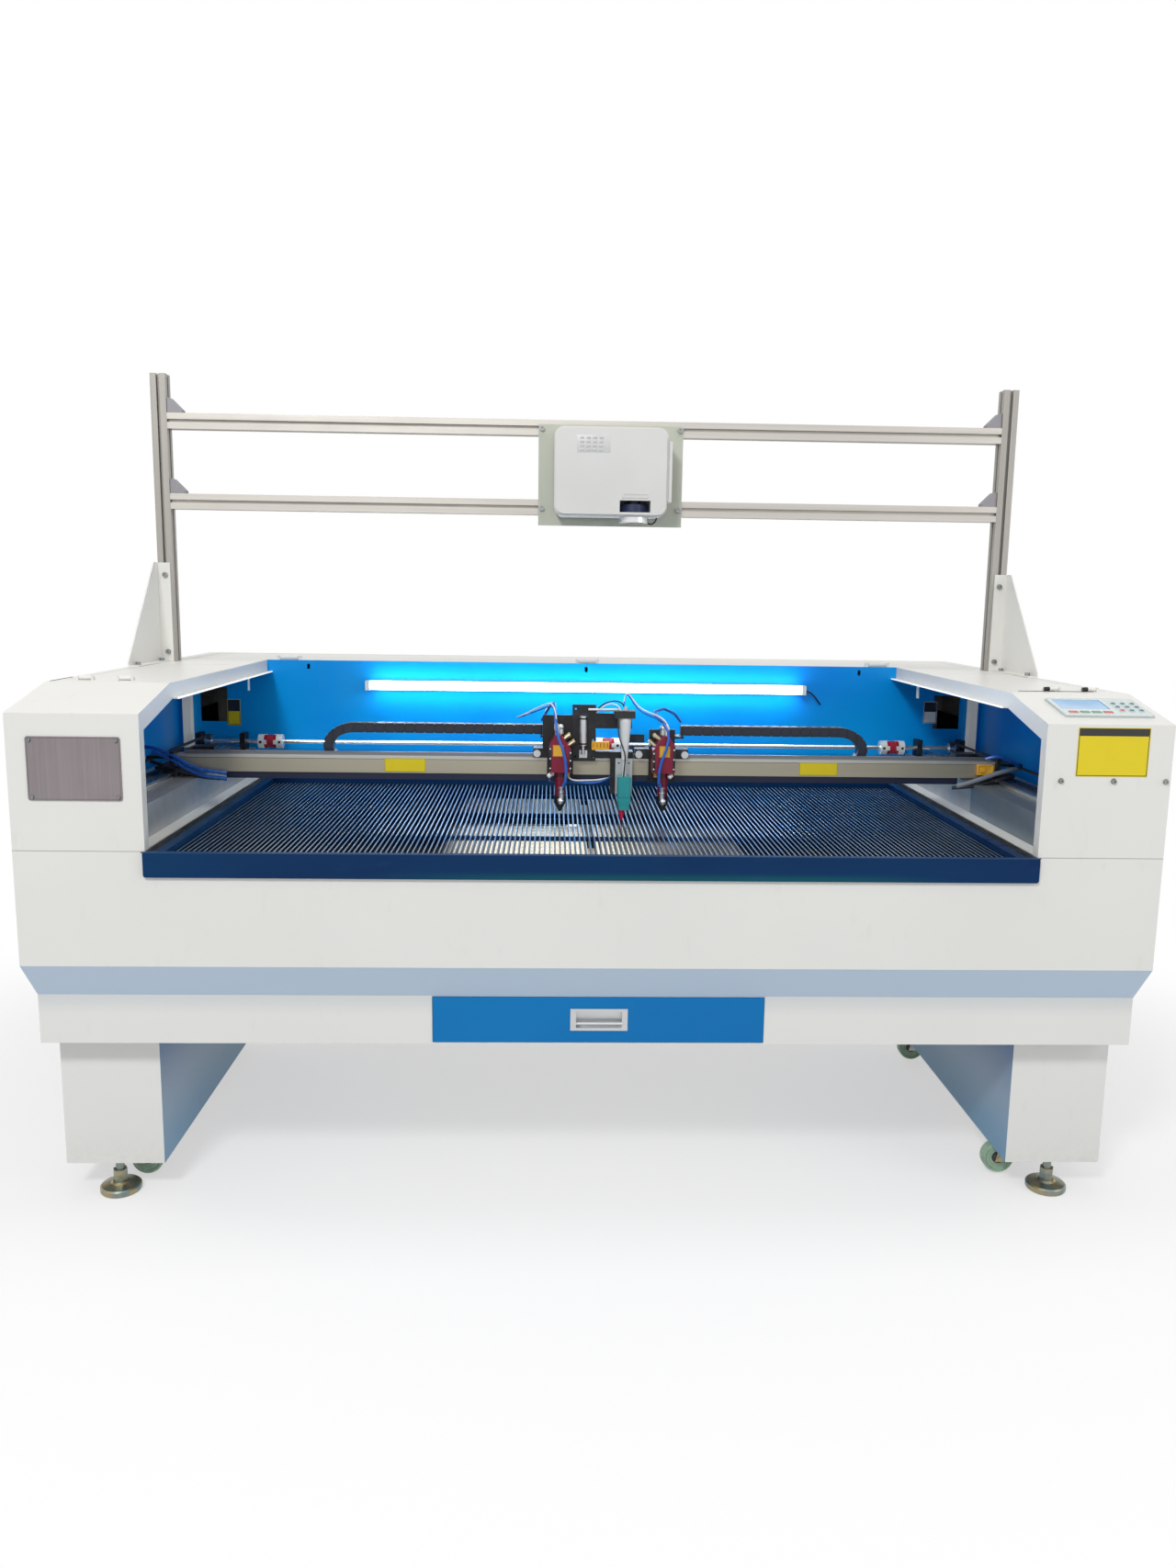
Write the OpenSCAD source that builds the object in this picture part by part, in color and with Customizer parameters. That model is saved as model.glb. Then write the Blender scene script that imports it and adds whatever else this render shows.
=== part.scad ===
// Gantry laser cutting machine: white sheet-metal cabinet on two pedestals, knife-blade bed,
// crossing gantry with two cutting heads and a marking valve, and a projector on a profile frame.
// Lengths are millimetres. Y runs back from the front face, and every node is then moved
// so that the origin is on the floor, in the middle of the machine.

/* [Cabinet] */
// Width over both side towers
overall_w = 2300; // [2200:10:2500]
// Front face to the blue back panel
bed_reach = 1048; // [1000:1:1150]
// Height of the seam between cabinet and towers
seam_z = 784; // [760:1:820]
// Height of the lower edge of the cabinet's upright front
front_bottom_z = 549; // [520:1:580]
// Height of the lower edge of the chamfer
chamfer_z = 474; // [455:1:495]
// Height of the cabinet's underside
apron_z = 370; // [330:1:390]
// Set-back of the apron behind the front face
chamfer_in = 45; // [30:1:60]
// Set-back of the apron at each side
chamfer_side = 12; // [6:1:24]
// Sheet thickness of cabinet, towers and housing
sheet_t = 3; // [2:0.5:4]
// Outer diameter of the exhaust collar
exhaust_d = 150; // [120:5:180]
// Length of the exhaust collar
exhaust_l = 70; // [50:5:100]

/* [Towers] */
// Width of each side tower
tower_w = 258; // [240:1:280]
// Height of the tower's front edge
tower_front_z = 1057; // [1030:1:1075]
// Height of the tower's flat top
tower_top_z = 1102; // [1090:1:1120]
// Depth of the sloping part of the tower's top
slope_run = 198; // [180:1:230]
// Depth of the folded edge along the tower's open side
edge_drop = 34; // [24:1:44]
// Width of the lip under the folded edge
edge_lip = 14; // [8:1:20]
// Length of each top access door
door_l = 560; // [450:10:620]
// Width of the operator panel
panel_w = 184; // [176:1:200]
// Depth of the operator panel
panel_h = 114; // [106:1:124]

/* [Tube housing] */
// Depth of the housing that overhangs the rear
housing_d = 352; // [300:1:400]
// Height of the housing's underside
housing_z = 742; // [700:1:790]
// Diameter of each glass laser tube
tube_d = 80; // [60:1:90]
// Length of each glass laser tube
tube_l = 1650; // [1200:10:1800]

/* [Pedestals and feet] */
// Side face of the pedestal to the cabinet's side
ped_side_in = 23; // [15:1:60]
// Width of each pedestal
ped_w = 209; // [180:1:240]
// Front face of the pedestal behind the front face
ped_front_in = 108; // [90:1:140]
// Length of each pedestal, front to back
ped_l = 852; // [780:1:900]
// Height of the pedestal's underside
ped_z = 72; // [66:1:90]
// Diameter of a levelling foot's pad
pad_d = 86; // [60:1:92]
// Diameter of a levelling foot's stud
stud_d = 18; // [12:1:18]
// Diameter of a caster wheel
wheel_d = 70; // [60:1:72]
// Width of a caster wheel
wheel_w = 26; // [20:1:34]
// Diameter of a caster's axle
axle_d = 8; // [6:1:10]
// Height of the caster's swivel behind the pedestal's lower edge
recess_h = 33; // [30:1:44]

/* [Bed] */
// Height of the tops of the blades
blade_top_z = 762; // [745:1:765]
// Height of one blade
blade_h = 18; // [14:1:30]
// Thickness of one blade
blade_t = 3; // [2:0.2:5]
// Pitch of the blades
blade_pitch = 11; // [11:0.5:16]
// Height of the dark lip in front of the bed
lip_h = 51; // [40:1:60]
// How far the lip stands proud of the front face
lip_proud = 8; // [4:1:12]
// Width of the bed frame's border
border_w = 22; // [16:1:30]

/* [Drawer] */
// Width of the scrap drawer's front
drawer_w = 690; // [500:10:800]
// Height of the scrap drawer's front
drawer_h = 98; // [85:1:100]
// Depth of the drawer's tray
drawer_l = 620; // [500:10:700]
// Travel of the drawer
drawer_travel = 520; // [400:10:560]

/* [Gantry] */
// Front face of the gantry beam behind the front face
gantry_y = 500; // [480:1:520]
// Height of the beam's underside
beam_z = 869; // [869:1:875]
// Height of the beam
beam_h = 40; // [40:1:46]
// Depth of the beam, front to back
beam_d = 40; // [36:1:50]
// Travel of the gantry towards the front
travel_front = 380; // [300:10:390]
// Travel of the gantry towards the rear
travel_rear = 340; // [300:10:345]
// Pitch radius of the belt pulleys
pulley_r = 16; // [14:0.5:18]
// Diameter of the long drive shaft
shaft_d = 12; // [10:1:14]
// Diameter of each shaft coupling
coupling_d = 40; // [34:1:44]
// Length of each shaft coupling
coupling_l = 66; // [60:1:70]

/* [Heads] */
// Position of the left head
head_left_x = -71; // [-90:1:-64]
// Position of the right head
head_right_x = 172; // [166:1:195]
// Distance of a head's axis in front of the beam
head_reach = 44; // [40:1:50]
// Height of the nozzle's tip
nozzle_z = 788; // [782:1:792]
// Width of the head's mirror block
head_w = 52; // [46:1:56]
// Travel of each carriage's chain bend; the carriage moves twice as far
bend_travel = 240; // [200:5:240]
// Position of the marking valve
marker_x = 81; // [76:1:86]
// Height of the marking needle's tip
marker_tip_z = 767; // [766:1:771]

/* [Drag chains] */
// Outer half height of the chain's bend
bend_r = 56; // [50:1:60]
// Outer reach of the chain's bend past the straight runs
bend_a = 76; // [60:1:90]
// Height of the chain's links
link_h = 23; // [18:1:26]
// Width of the chain
chain_w = 30; // [24:1:34]
// Length of one link
link_l = 24; // [20:1:30]
// Outermost point of the left bend
bend_left_x = -643; // [-670:1:-600]
// Outermost point of the right bend
bend_right_x = 683; // [640:1:700]

/* [Projector frame] */
// Side of the square profile
profile = 40; // [40:1:45]
// Gap between an upright and the side of the cabinet
upright_gap = 3; // [2:1:37]
// Front face of the uprights behind the front face
upright_y = 933; // [900:1:980]
// Height of the uprights' tops
upright_top_z = 1850; // [1800:10:2000]
// Height of the upper rail's middle
rail_upper_z = 1731; // [1700:1:1760]
// Height of the lower rail's middle
rail_lower_z = 1525; // [1500:1:1550]
// Height of the gussets
gusset_h = 262; // [200:1:300]
// Length of the gussets' feet
gusset_l = 250; // [180:1:280]

/* [Projector] */
// Middle of the projector's plate
plate_x = 59; // [0:1:100]
// Width of the projector's plate
plate_w = 384; // [380:1:420]
// Height of the projector's plate
plate_h = 262; // [255:1:275]
// Width of the projector's case
case_w = 294; // [280:1:310]
// Height of the projector's case on the plate
case_h = 224; // [205:1:235]
// Thickness of the projector's case
case_t = 100; // [80:1:110]
// Corner radius of the projector's case
case_r = 26; // [15:1:34]

/* [Hidden] */
$fn = 48;

eps = 0.01;              // overlap that makes cuts clean
gap = 0.3;               // seating gap between touching pieces
run_gap = 0.05;          // radial clearance of turning pieces
panel_white = [0.90, 0.90, 0.88];
panel_blue = [0.02, 0.38, 0.68];
frame_navy = [0.05, 0.12, 0.25];
metal_grey = [0.70, 0.70, 0.68];
steel = [0.62, 0.63, 0.65];
anodised = [0.78, 0.76, 0.73];
black = [0.07, 0.07, 0.09];
maroon = [0.45, 0.06, 0.14];

half_w = overall_w / 2;
tower_in = half_w - tower_w;
body_d = bed_reach + housing_d;
mid_y = (body_d - lip_proud) / 2;
lip_top_z = seam_z + 1;
lip_bottom_z = lip_top_z - lip_h;
ledge_w = 30;
opening_half = tower_in + 8;
wall_half = opening_half + ledge_w;
border_z = blade_top_z + 13;
blade_half = tower_in - border_w - 1;
comb_z = blade_top_z - blade_h - 10;
bed_z = comb_z - 12;
ledge_z = bed_z - gap;
floor_z = apron_z + sheet_t + drawer_h + 12;
cavity_x = half_w - chamfer_side - sheet_t;

module in_place() {
    translate([0, -mid_y, 0]) children();
}

module mirror_pair() {
    children();
    mirror([1, 0, 0]) children();
}

module box_between(a, b) {
    translate(a) cube([b[0] - a[0], b[1] - a[1], b[2] - a[2]]);
}

// A round bar along an axis: "x", "y" or "z", starting at p.
module bar(axis, d, l, p = [0, 0, 0]) {
    turn = axis == "x" ? [0, 90, 0] : axis == "y" ? [-90, 0, 0] : [0, 0, 0];
    translate(p) rotate(turn) cylinder(d = d, h = l);
}

// A flat profile drawn in (Y, Z) and run along X from x0 to x1.
module along_x(points, x0, x1) {
    translate([x0, 0, 0]) rotate([90, 0, 90]) linear_extrude(x1 - x0) polygon(points);
}

// A flat profile drawn in (X, Z) and run along Y from y0 to y1.
module along_y(points, y0, y1) {
    translate([0, y1, 0]) rotate([90, 0, 0]) linear_extrude(y1 - y0) polygon(points);
}

module rounded(w, h, r) {
    square([w - 2 * r, h], center = true);
    square([w, h - 2 * r], center = true);
    for (sx = [-1, 1], sy = [-1, 1]) {
        translate([sx * (w / 2 - r), sy * (h / 2 - r)]) circle(r);
    }
}

// A rounded plate standing in the XZ plane, from y0 back to y1.
module upright_plate(w, h, r, y0, y1, x = 0, z = 0) {
    translate([x, y1, z]) rotate([90, 0, 0]) linear_extrude(y1 - y0) rounded(w, h, r);
}

// ---------- cabinet ----------
module cabinet_solid(inset) {
    f = inset;
    y_back = bed_reach - inset;
    intersection() {
        along_x([
            [f, seam_z - f], [f, front_bottom_z], [chamfer_in + f, chamfer_z],
            [chamfer_in + f, apron_z + f], [y_back, apron_z + f], [y_back, seam_z - f]
        ], -half_w, half_w);
        along_y([
            [-half_w + f, seam_z], [-half_w + f, front_bottom_z], [-half_w + chamfer_side + f, chamfer_z],
            [-half_w + chamfer_side + f, apron_z], [half_w - chamfer_side - f, apron_z],
            [half_w - chamfer_side - f, chamfer_z], [half_w - f, front_bottom_z], [half_w - f, seam_z]
        ], 0, bed_reach);
    }
}

drawer_mid_x = 12;
drawer_x0 = -drawer_w / 2;
drawer_top_z = apron_z + 4 + drawer_h;
exhaust_z = front_bottom_z + 30;

module base_cabinet() {
    color(panel_white) in_place() {
        difference() {
            union() {
                difference() {
                    cabinet_solid(0);
                    cabinet_solid(sheet_t);
                }
                bar("y", exhaust_d, exhaust_l, [0, bed_reach - sheet_t, exhaust_z]);
            }
            // bed opening in the top, and the notch for the lip
            box_between([-opening_half, -eps, seam_z - sheet_t - eps],
                        [opening_half, bed_reach - 40, seam_z + 1]);
            box_between([-tower_in, -eps, lip_bottom_z - 1], [tower_in, sheet_t + 1, seam_z + 1]);
            // drawer opening
            box_between([drawer_mid_x + drawer_x0 - 1, chamfer_in - 1, apron_z + sheet_t],
                        [drawer_mid_x - drawer_x0 + 1, chamfer_in + sheet_t + 2, drawer_top_z + 1]);
            bar("y", exhaust_d - 2 * sheet_t, exhaust_l + 20, [0, bed_reach - 10, exhaust_z]);
        }
    }
}

// Floor of the fume duct above the drawer, in four sheets around its chute, and the ledges that
// carry the bed.
module duct_floor() {
    y0 = chamfer_in + sheet_t + eps;
    y1 = bed_reach - sheet_t - eps;
    chute_x = -drawer_x0 - 40;
    color(panel_white) in_place() {
        for (s = [-1, 0, 1]) {
            box_between([s * (blade_half - 20) - 20, sheet_t + eps, ledge_z - sheet_t],
                        [s * (blade_half - 20) + 20, y1, ledge_z]);
        }
        mirror_pair() box_between([chute_x, y0, floor_z], [cavity_x - eps, y1, floor_z + sheet_t]);
        for (y = [[y0, chamfer_in + 60], [chamfer_in + drawer_l - 40, y1]]) {
            box_between([gap - chute_x, y[0], floor_z], [chute_x - gap, y[1], floor_z + sheet_t]);
        }
    }
}

// ---------- pedestals ----------
foot_x = half_w - ped_side_in - ped_w / 2;
foot_ys = [ped_front_in + 22, ped_front_in + ped_l - 22];
caster_x = half_w - ped_side_in - ped_w + 44;
caster_ys = [ped_front_in + 97, ped_front_in + ped_l - 97];
mount_t = 3;
mount_z = ped_z + recess_h;
swivel_d = 12;

// Sheet box, open below, with a recessed mounting plate for the feet and casters.
module pedestal() {
    x1 = half_w - ped_side_in;
    x0 = x1 - ped_w;
    y1 = ped_front_in + ped_l;
    difference() {
        box_between([x0, ped_front_in, ped_z], [x1, y1, apron_z]);
        box_between([x0 + sheet_t, ped_front_in + sheet_t, ped_z - 1],
                    [x1 - sheet_t, y1 - sheet_t, apron_z - sheet_t]);
    }
    difference() {
        union() {
            box_between([x0 + sheet_t - eps, ped_front_in + sheet_t - eps, mount_z],
                        [x1 - sheet_t + eps, y1 - sheet_t + eps, mount_z + mount_t]);
            for (y = caster_ys) {
                box_between([caster_x - 34, y - 34, mount_z - mount_t], [caster_x + 34, y + 34, mount_z + eps]);
            }
        }
        for (y = foot_ys) bar("z", stud_d + 1, 20, [foot_x, y, mount_z - 10]);
        for (y = caster_ys) bar("z", swivel_d + 2 * run_gap, 20, [caster_x, y, mount_z - 10]);
    }
}

module pedestals() { color(panel_white) in_place() mirror_pair() pedestal(); }

// Pad, stud and lock nuts of one levelling foot.
module levelling_foot() {
    difference() {
        rotate_extrude() polygon([
            [0, 0], [pad_d / 2 - 2, 0], [pad_d / 2, 3], [pad_d / 2, 12], [pad_d / 2 - 3, 15],
            [stud_d / 2 + 12, 19], [stud_d / 2 + 7, pad_h], [0, pad_h]
        ]);
        translate([0, 0, pad_h - 10]) cylinder(d = stud_d + 0.6, h = 20);
    }
    translate([0, 0, pad_h - 10 + gap]) cylinder(d = stud_d, h = mount_z + 24 - pad_h + 10 - gap);
    nut_zs = [pad_h + gap, pad_h + nut_h + 2 * gap, mount_z - nut_h - gap, mount_z + mount_t + gap];
    for (z = nut_zs) difference() {
        translate([0, 0, z]) cylinder(d = stud_d * 1.7, h = nut_h, $fn = 6);
        translate([0, 0, z - 1]) cylinder(d = stud_d + 0.4, h = nut_h + 2);
    }
}

nut_h = 13;
pad_h = 23;

module levelling_feet() {
    color(steel) in_place() mirror_pair() for (y = foot_ys) translate([foot_x, y, 0]) levelling_foot();
}

// ---------- casters ----------
wheel_z = 4 + wheel_d / 2;
fork_trail = 24;

// Swivel fork: a round head under the plate, two cheeks and the axle between them.
// Every caster trails to the left, as after a push to the right.
module caster_fork(sx, y) {
    head_top = mount_z - mount_t - gap;
    cheek_in = wheel_w / 2 + 1;
    color(steel) in_place() translate([sx * caster_x, y, 0]) rotate([0, 0, 90]) {
        bar("z", 46, 6, [0, 0, head_top - 6]);
        bar("z", swivel_d, 2 * mount_t + 6, [0, 0, head_top - 2]);
        bar("z", 18, 4, [0, 0, mount_z + mount_t + gap]);
        for (s = [-1, 1]) {
            along_x([[-16, head_top - 3], [16, head_top - 3],
                     [fork_trail + 9, wheel_z - 8], [fork_trail - 9, wheel_z - 8]],
                    s > 0 ? cheek_in : -cheek_in - 2.5, s > 0 ? cheek_in + 2.5 : -cheek_in);
        }
        bar("x", axle_d, 2 * cheek_in + 8, [-cheek_in - 4, fork_trail, wheel_z]);
    }
}

module caster_wheel(sx, y) {
    color([0.80, 0.82, 0.74]) in_place() translate([sx * caster_x - fork_trail, y, wheel_z])
        rotate([90, 0, 0]) difference() {
            union() {
                rotate_extrude() polygon([
                    [axle_d / 2 + 8, -wheel_w / 2 + 4], [wheel_d / 2 - 8, -wheel_w / 2 + 4],
                    [wheel_d / 2 - 5, -wheel_w / 2], [wheel_d / 2 - 1, -wheel_w / 2],
                    [wheel_d / 2, -wheel_w / 2 + 3], [wheel_d / 2, wheel_w / 2 - 3],
                    [wheel_d / 2 - 1, wheel_w / 2], [wheel_d / 2 - 5, wheel_w / 2],
                    [wheel_d / 2 - 8, wheel_w / 2 - 4], [axle_d / 2 + 8, wheel_w / 2 - 4]
                ]);
                cylinder(r = axle_d / 2 + 8.5, h = wheel_w, center = true);
            }
            cylinder(d = axle_d + 2 * run_gap, h = wheel_w + 2, center = true);
        }
}

module caster_fork_front_left() { caster_fork(-1, caster_ys[0]); }
module caster_fork_front_right() { caster_fork(1, caster_ys[0]); }
module caster_fork_rear_left() { caster_fork(-1, caster_ys[1]); }
module caster_fork_rear_right() { caster_fork(1, caster_ys[1]); }
module caster_wheel_front_left() { caster_wheel(-1, caster_ys[0]); }
module caster_wheel_front_right() { caster_wheel(1, caster_ys[0]); }
module caster_wheel_rear_left() { caster_wheel(-1, caster_ys[1]); }
module caster_wheel_rear_right() { caster_wheel(1, caster_ys[1]); }

// ---------- towers ----------
door_x0 = tower_in + 44;
door_x1 = half_w - 22;
door_y0 = slope_run + 62;
door_y1 = door_y0 + door_l;
fold_r = 12;

// Outline of the tower in (Y, Z), inset by t from the outside.
function tower_outline(t) = [
    [t, seam_z], [t, tower_front_z - t * 0.4], [slope_run + t * 0.1, tower_top_z - t],
    [bed_reach - gap, tower_top_z - t], [bed_reach - gap, seam_z]
];

module tower_cover() {
    difference() {
        union() {
            // skin: front, slope, top and outer side
            difference() {
                along_x(tower_outline(0), tower_in, half_w);
                along_x(tower_outline(sheet_t), tower_in - 1, half_w - sheet_t);
            }
            // folded edge along the open side, with its lip
            along_x([
                [0, tower_front_z], [slope_run, tower_top_z], [bed_reach - gap, tower_top_z],
                [bed_reach - gap, tower_top_z - edge_drop], [slope_run + fold_r, tower_top_z - edge_drop],
                [fold_r * 2, tower_front_z - edge_drop], [0, tower_front_z - edge_drop]
            ], tower_in, tower_in + sheet_t);
            along_x([
                [slope_run + fold_r, tower_top_z - edge_drop], [bed_reach - gap, tower_top_z - edge_drop],
                [bed_reach - gap, tower_top_z - edge_drop + sheet_t],
                [slope_run + fold_r, tower_top_z - edge_drop + sheet_t]
            ], tower_in - edge_lip, tower_in + sheet_t);
            // return of the front panel beside the opening
            box_between([tower_in, 0, seam_z], [tower_in + sheet_t, 26, tower_front_z - 10]);
        }
        // door opening
        box_between([door_x0, door_y0, tower_top_z - sheet_t - 1], [door_x1, door_y1, tower_top_z + 1]);
    }
    // inner ledge that carries the door, welded under the top
    difference() {
        box_between([door_x0 - 8, door_y0 - 8, tower_top_z - 2 * sheet_t],
                    [door_x1 + 8, door_y1 + 8, tower_top_z - sheet_t]);
        box_between([door_x0 + 10, door_y0 + 10, tower_top_z - 2 * sheet_t - 1],
                    [door_x1 - 10, door_y1 - 10, tower_top_z]);
    }
    // fixed pins and lugs of the door's hinges
    for (x = door_hinge_xs) {
        bar("x", 4, 34, [x - 17, hinge_y, hinge_z]);
        for (s = [-1, 1]) {
            box_between([x + s * 15.5 - 2.5, hinge_y - 5, tower_top_z - sheet_t],
                        [x + s * 15.5 + 2.5, hinge_y + 1.5, hinge_z + 4]);
        }
    }
    // hanging tab for the front lid's stay
    box_between([tower_in + sheet_t, bed_reach - 205, tower_top_z - edge_drop - 36],
                [tower_in + sheet_t + 2, bed_reach - 187, tower_top_z - edge_drop + 6]);
}

module tower_cover_right() { color(panel_white) in_place() tower_cover(); }
module tower_cover_left() { color(panel_white) in_place() mirror([1, 0, 0]) tower_cover(); }

hinge_d = 9;
hinge_y = door_y0 - 2;
hinge_z = tower_top_z + 5;

// Access door in the tower's top: a plate with two hinge knuckles at its front edge.
module tower_door() {
    t = sheet_t - 0.6;
    box_between([door_x0 + 1, door_y0 + 4, tower_top_z - sheet_t + gap],
                [door_x1 - 1, door_y1 - 1, tower_top_z - sheet_t + gap + t]);
    for (x = door_hinge_xs) {
        difference() {
            union() {
                bar("x", hinge_d, 25, [x - 12.5, hinge_y, hinge_z]);
                box_between([x - 12.5, hinge_y, hinge_z - 3], [x + 12.5, hinge_y + 22, hinge_z]);
                box_between([x - 12.5, hinge_y + 8, tower_top_z - sheet_t + gap + t - 1],
                            [x + 12.5, hinge_y + 22, hinge_z]);
            }
            bar("x", 4 + 2 * run_gap, 27, [x - 13.5, hinge_y, hinge_z]);
        }
    }
}

door_hinge_xs = [tower_in + 113, tower_in + 198];

module door_right() { color(panel_white) in_place() tower_door(); }
module door_left() { color(panel_white) in_place() mirror([1, 0, 0]) tower_door(); }

// ---------- back panel and tube housing ----------
beam_port_z0 = 927;
beam_port_z1 = 1023;
port_x = tower_in + 152;
slot_in = 115;

module back_panel() {
    wing_x = half_w - sheet_t - 2;
    panel_top = tower_top_z - sheet_t - gap;
    color(panel_blue) in_place() difference() {
        union() {
            box_between([-tower_in, bed_reach, seam_z + gap], [tower_in, bed_reach + 2, tower_top_z]);
            box_between([-wing_x, bed_reach, seam_z + gap], [wing_x, bed_reach + 2, panel_top]);
            // folded wings along the outer sides of the towers
            for (s = [-1, 1]) {
                along_x([
                    [30, seam_z + gap], [30, tower_front_z - 16], [slope_run + 20, panel_top - sheet_t],
                    [bed_reach + 2, panel_top - sheet_t], [bed_reach + 2, seam_z + gap]
                ], s * (wing_x - 1) - 1, s * (wing_x - 1) + 1);
            }
            // fold over the top edge
            box_between([-tower_in, bed_reach, tower_top_z - 2], [tower_in, bed_reach + 16, tower_top_z]);
        }
        for (s = [-1, 1]) {
            box_between([s * port_x - 37.5, bed_reach - 1, beam_port_z0],
                        [s * port_x + 37.5, bed_reach + 3, beam_port_z1]);
        }
        for (x = [-tower_in + slot_in, 5, tower_in - slot_in + 8]) {
            box_between([x - 4, bed_reach - 1, tower_top_z - 24], [x + 4, bed_reach + 3, tower_top_z - 10]);
        }
    }
}

lid_y0 = bed_reach + 34;
lid_hinge_y = bed_reach + 25;
lid_hinge_z = tower_top_z + 6;
lid_hinge_xs = [-835, 8, 842];

module tube_housing() {
    y0 = bed_reach + 2 + gap;
    z0 = housing_z;
    z1 = tower_top_z;
    color(panel_white) in_place() {
        difference() {
            box_between([-half_w, y0, z0], [half_w, body_d, z1]);
            box_between([-half_w + sheet_t, y0 - 1, z0 + sheet_t],
                        [half_w - sheet_t, body_d - sheet_t, z1 - sheet_t]);
            // lid opening
            box_between([-half_w + 40, lid_y0, z1 - sheet_t - 1], [half_w - 40, body_d - 30, z1 + 1]);
            // room for the fold of the back panel
            box_between([-tower_in - 1, y0 - 1, z1 - sheet_t - 1], [tower_in + 1, bed_reach + 17, z1 + 1]);
            // cooling slots in the end walls
            for (i = [0 : 5]) {
                box_between([-half_w - 1, y0 + 90, z0 + 70 + i * 22],
                            [half_w + 1, body_d - 90, z0 + 78 + i * 22]);
            }
        }
        // ledge under the lid
        difference() {
            box_between([-half_w + 30, lid_y0 - 10, z1 - 2 * sheet_t],
                        [half_w - 30, body_d - 20, z1 - sheet_t]);
            box_between([-half_w + 52, lid_y0 + 12, z1 - 2 * sheet_t - 1],
                        [half_w - 52, body_d - 42, z1]);
        }
        // stands that clamp both tubes, on the housing's floor
        for (x = [-tube_l / 2 + 260, tube_l / 2 - 260]) difference() {
            box_between([x - 12, tube_y - tube_d / 2 - 16, z0 + sheet_t - eps],
                        [x + 12, tube_y + tube_d / 2 + 16, tube_zs[1] + tube_d / 2 + 14]);
            for (z = tube_zs) bar("x", tube_d + 2 * gap, 30, [x - 15, tube_y, z]);
        }
        // fixed hinge pins on their brackets
        for (x = lid_hinge_xs) {
            bar("x", 5, 68, [x - 34, lid_hinge_y, lid_hinge_z]);
            for (s = [-1, 1]) {
                box_between([x + s * 30 - 4, lid_hinge_y - 5, z1 - sheet_t],
                            [x + s * 30 + 4, lid_hinge_y + 5, lid_hinge_z + 5]);
            }
        }
    }
}

// Rear lid of the tube housing, hinged along its front edge and opened from behind.
module tube_lid() {
    t = sheet_t - 0.6;
    z0 = tower_top_z - sheet_t + gap;
    color(panel_white) in_place() {
        box_between([-half_w + 42, lid_y0 + 5, z0], [half_w - 42, body_d - 32, z0 + t]);
        for (x = lid_hinge_xs) {
            difference() {
                union() {
                    bar("x", 11, 50, [x - 25, lid_hinge_y, lid_hinge_z]);
                    box_between([x - 25, lid_hinge_y, lid_hinge_z - 3],
                                [x + 25, lid_hinge_y + 40, lid_hinge_z]);
                    box_between([x - 25, lid_hinge_y + 16, z0 + t - 1],
                                [x + 25, lid_hinge_y + 40, lid_hinge_z]);
                }
                bar("x", 5 + 2 * run_gap, 52, [x - 26, lid_hinge_y, lid_hinge_z]);
            }
        }
    }
}

tube_y = bed_reach + housing_d / 2 + 10;
tube_zs = [housing_z + 82, housing_z + 222];

// Sealed glass tube: outer jacket with a narrower electrode neck at each end.
electrode = [12, 60];
collar = [22, 70, 110];
jacket = [tube_d / 2 - 4, 125, 135];

module laser_tube(z) {
    half = [
        [0, 0], [electrode[0], 0], electrode, [collar[0], collar[1]], [collar[0], collar[2]],
        [jacket[0], jacket[1]], [tube_d / 2, jacket[2]]
    ];
    translate([0, tube_y, z]) rotate([0, 90, 0]) rotate_extrude() polygon(concat(
        [for (p = half) [p[0], p[1] - tube_l / 2]],
        [for (i = [len(half) - 1 : -1 : 0]) [half[i][0], tube_l / 2 - half[i][1]]]));
}

module laser_tubes() {
    color([0.85, 0.88, 0.92]) in_place() for (z = tube_zs) laser_tube(z);
}

// ---------- Y drive ----------
beam_wall_x = wall_half;
rail_rise = 71;
rail_top_z = seam_z + rail_rise;
guide_x = wall_half + 65;
guide_h = 12;
rail_y0 = 60;
rail_y1 = bed_reach - 4;
belt_x = guide_x + 52;
shaft_y = bed_reach - 52;
shaft_z = 878;

rail_w = 160;

// Folded channel that carries the Y guide: its inner wall shows beside the bed.
module rail_beam() {
    along_y([
        [beam_wall_x, seam_z + gap], [beam_wall_x, rail_top_z], [beam_wall_x + rail_w, rail_top_z],
        [beam_wall_x + rail_w, seam_z + gap], [beam_wall_x + rail_w - 4, seam_z + gap],
        [beam_wall_x + rail_w - 4, rail_top_z - 4], [beam_wall_x + 4, rail_top_z - 4],
        [beam_wall_x + 4, seam_z + gap]
    ], rail_y0, rail_y1);
}

module rail_beams() {
    color(metal_grey) in_place() mirror_pair() {
        rail_beam();
        // post behind the beam, up to the tower's top
        box_between([half_w - 47, bed_reach - 28, seam_z + gap],
                    [half_w - 25, bed_reach - gap, tower_top_z - sheet_t - gap]);
    }
}

module y_guides() {
    color(steel) in_place() mirror_pair() {
        along_y([
            [guide_x - 7.5, rail_top_z], [guide_x - 7.5, rail_top_z + 4], [guide_x - 5.5, rail_top_z + 6],
            [guide_x - 7.5, rail_top_z + 8.5], [guide_x - 7.5, rail_top_z + guide_h],
            [guide_x + 7.5, rail_top_z + guide_h], [guide_x + 7.5, rail_top_z + 8.5],
            [guide_x + 5.5, rail_top_z + 6], [guide_x + 7.5, rail_top_z + 4], [guide_x + 7.5, rail_top_z]
        ], rail_y0 + 4, rail_y1 - 4);
    }
}

idler_y = rail_y0 + 34;
belt_w = 15;
belt_t = 2;

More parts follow.
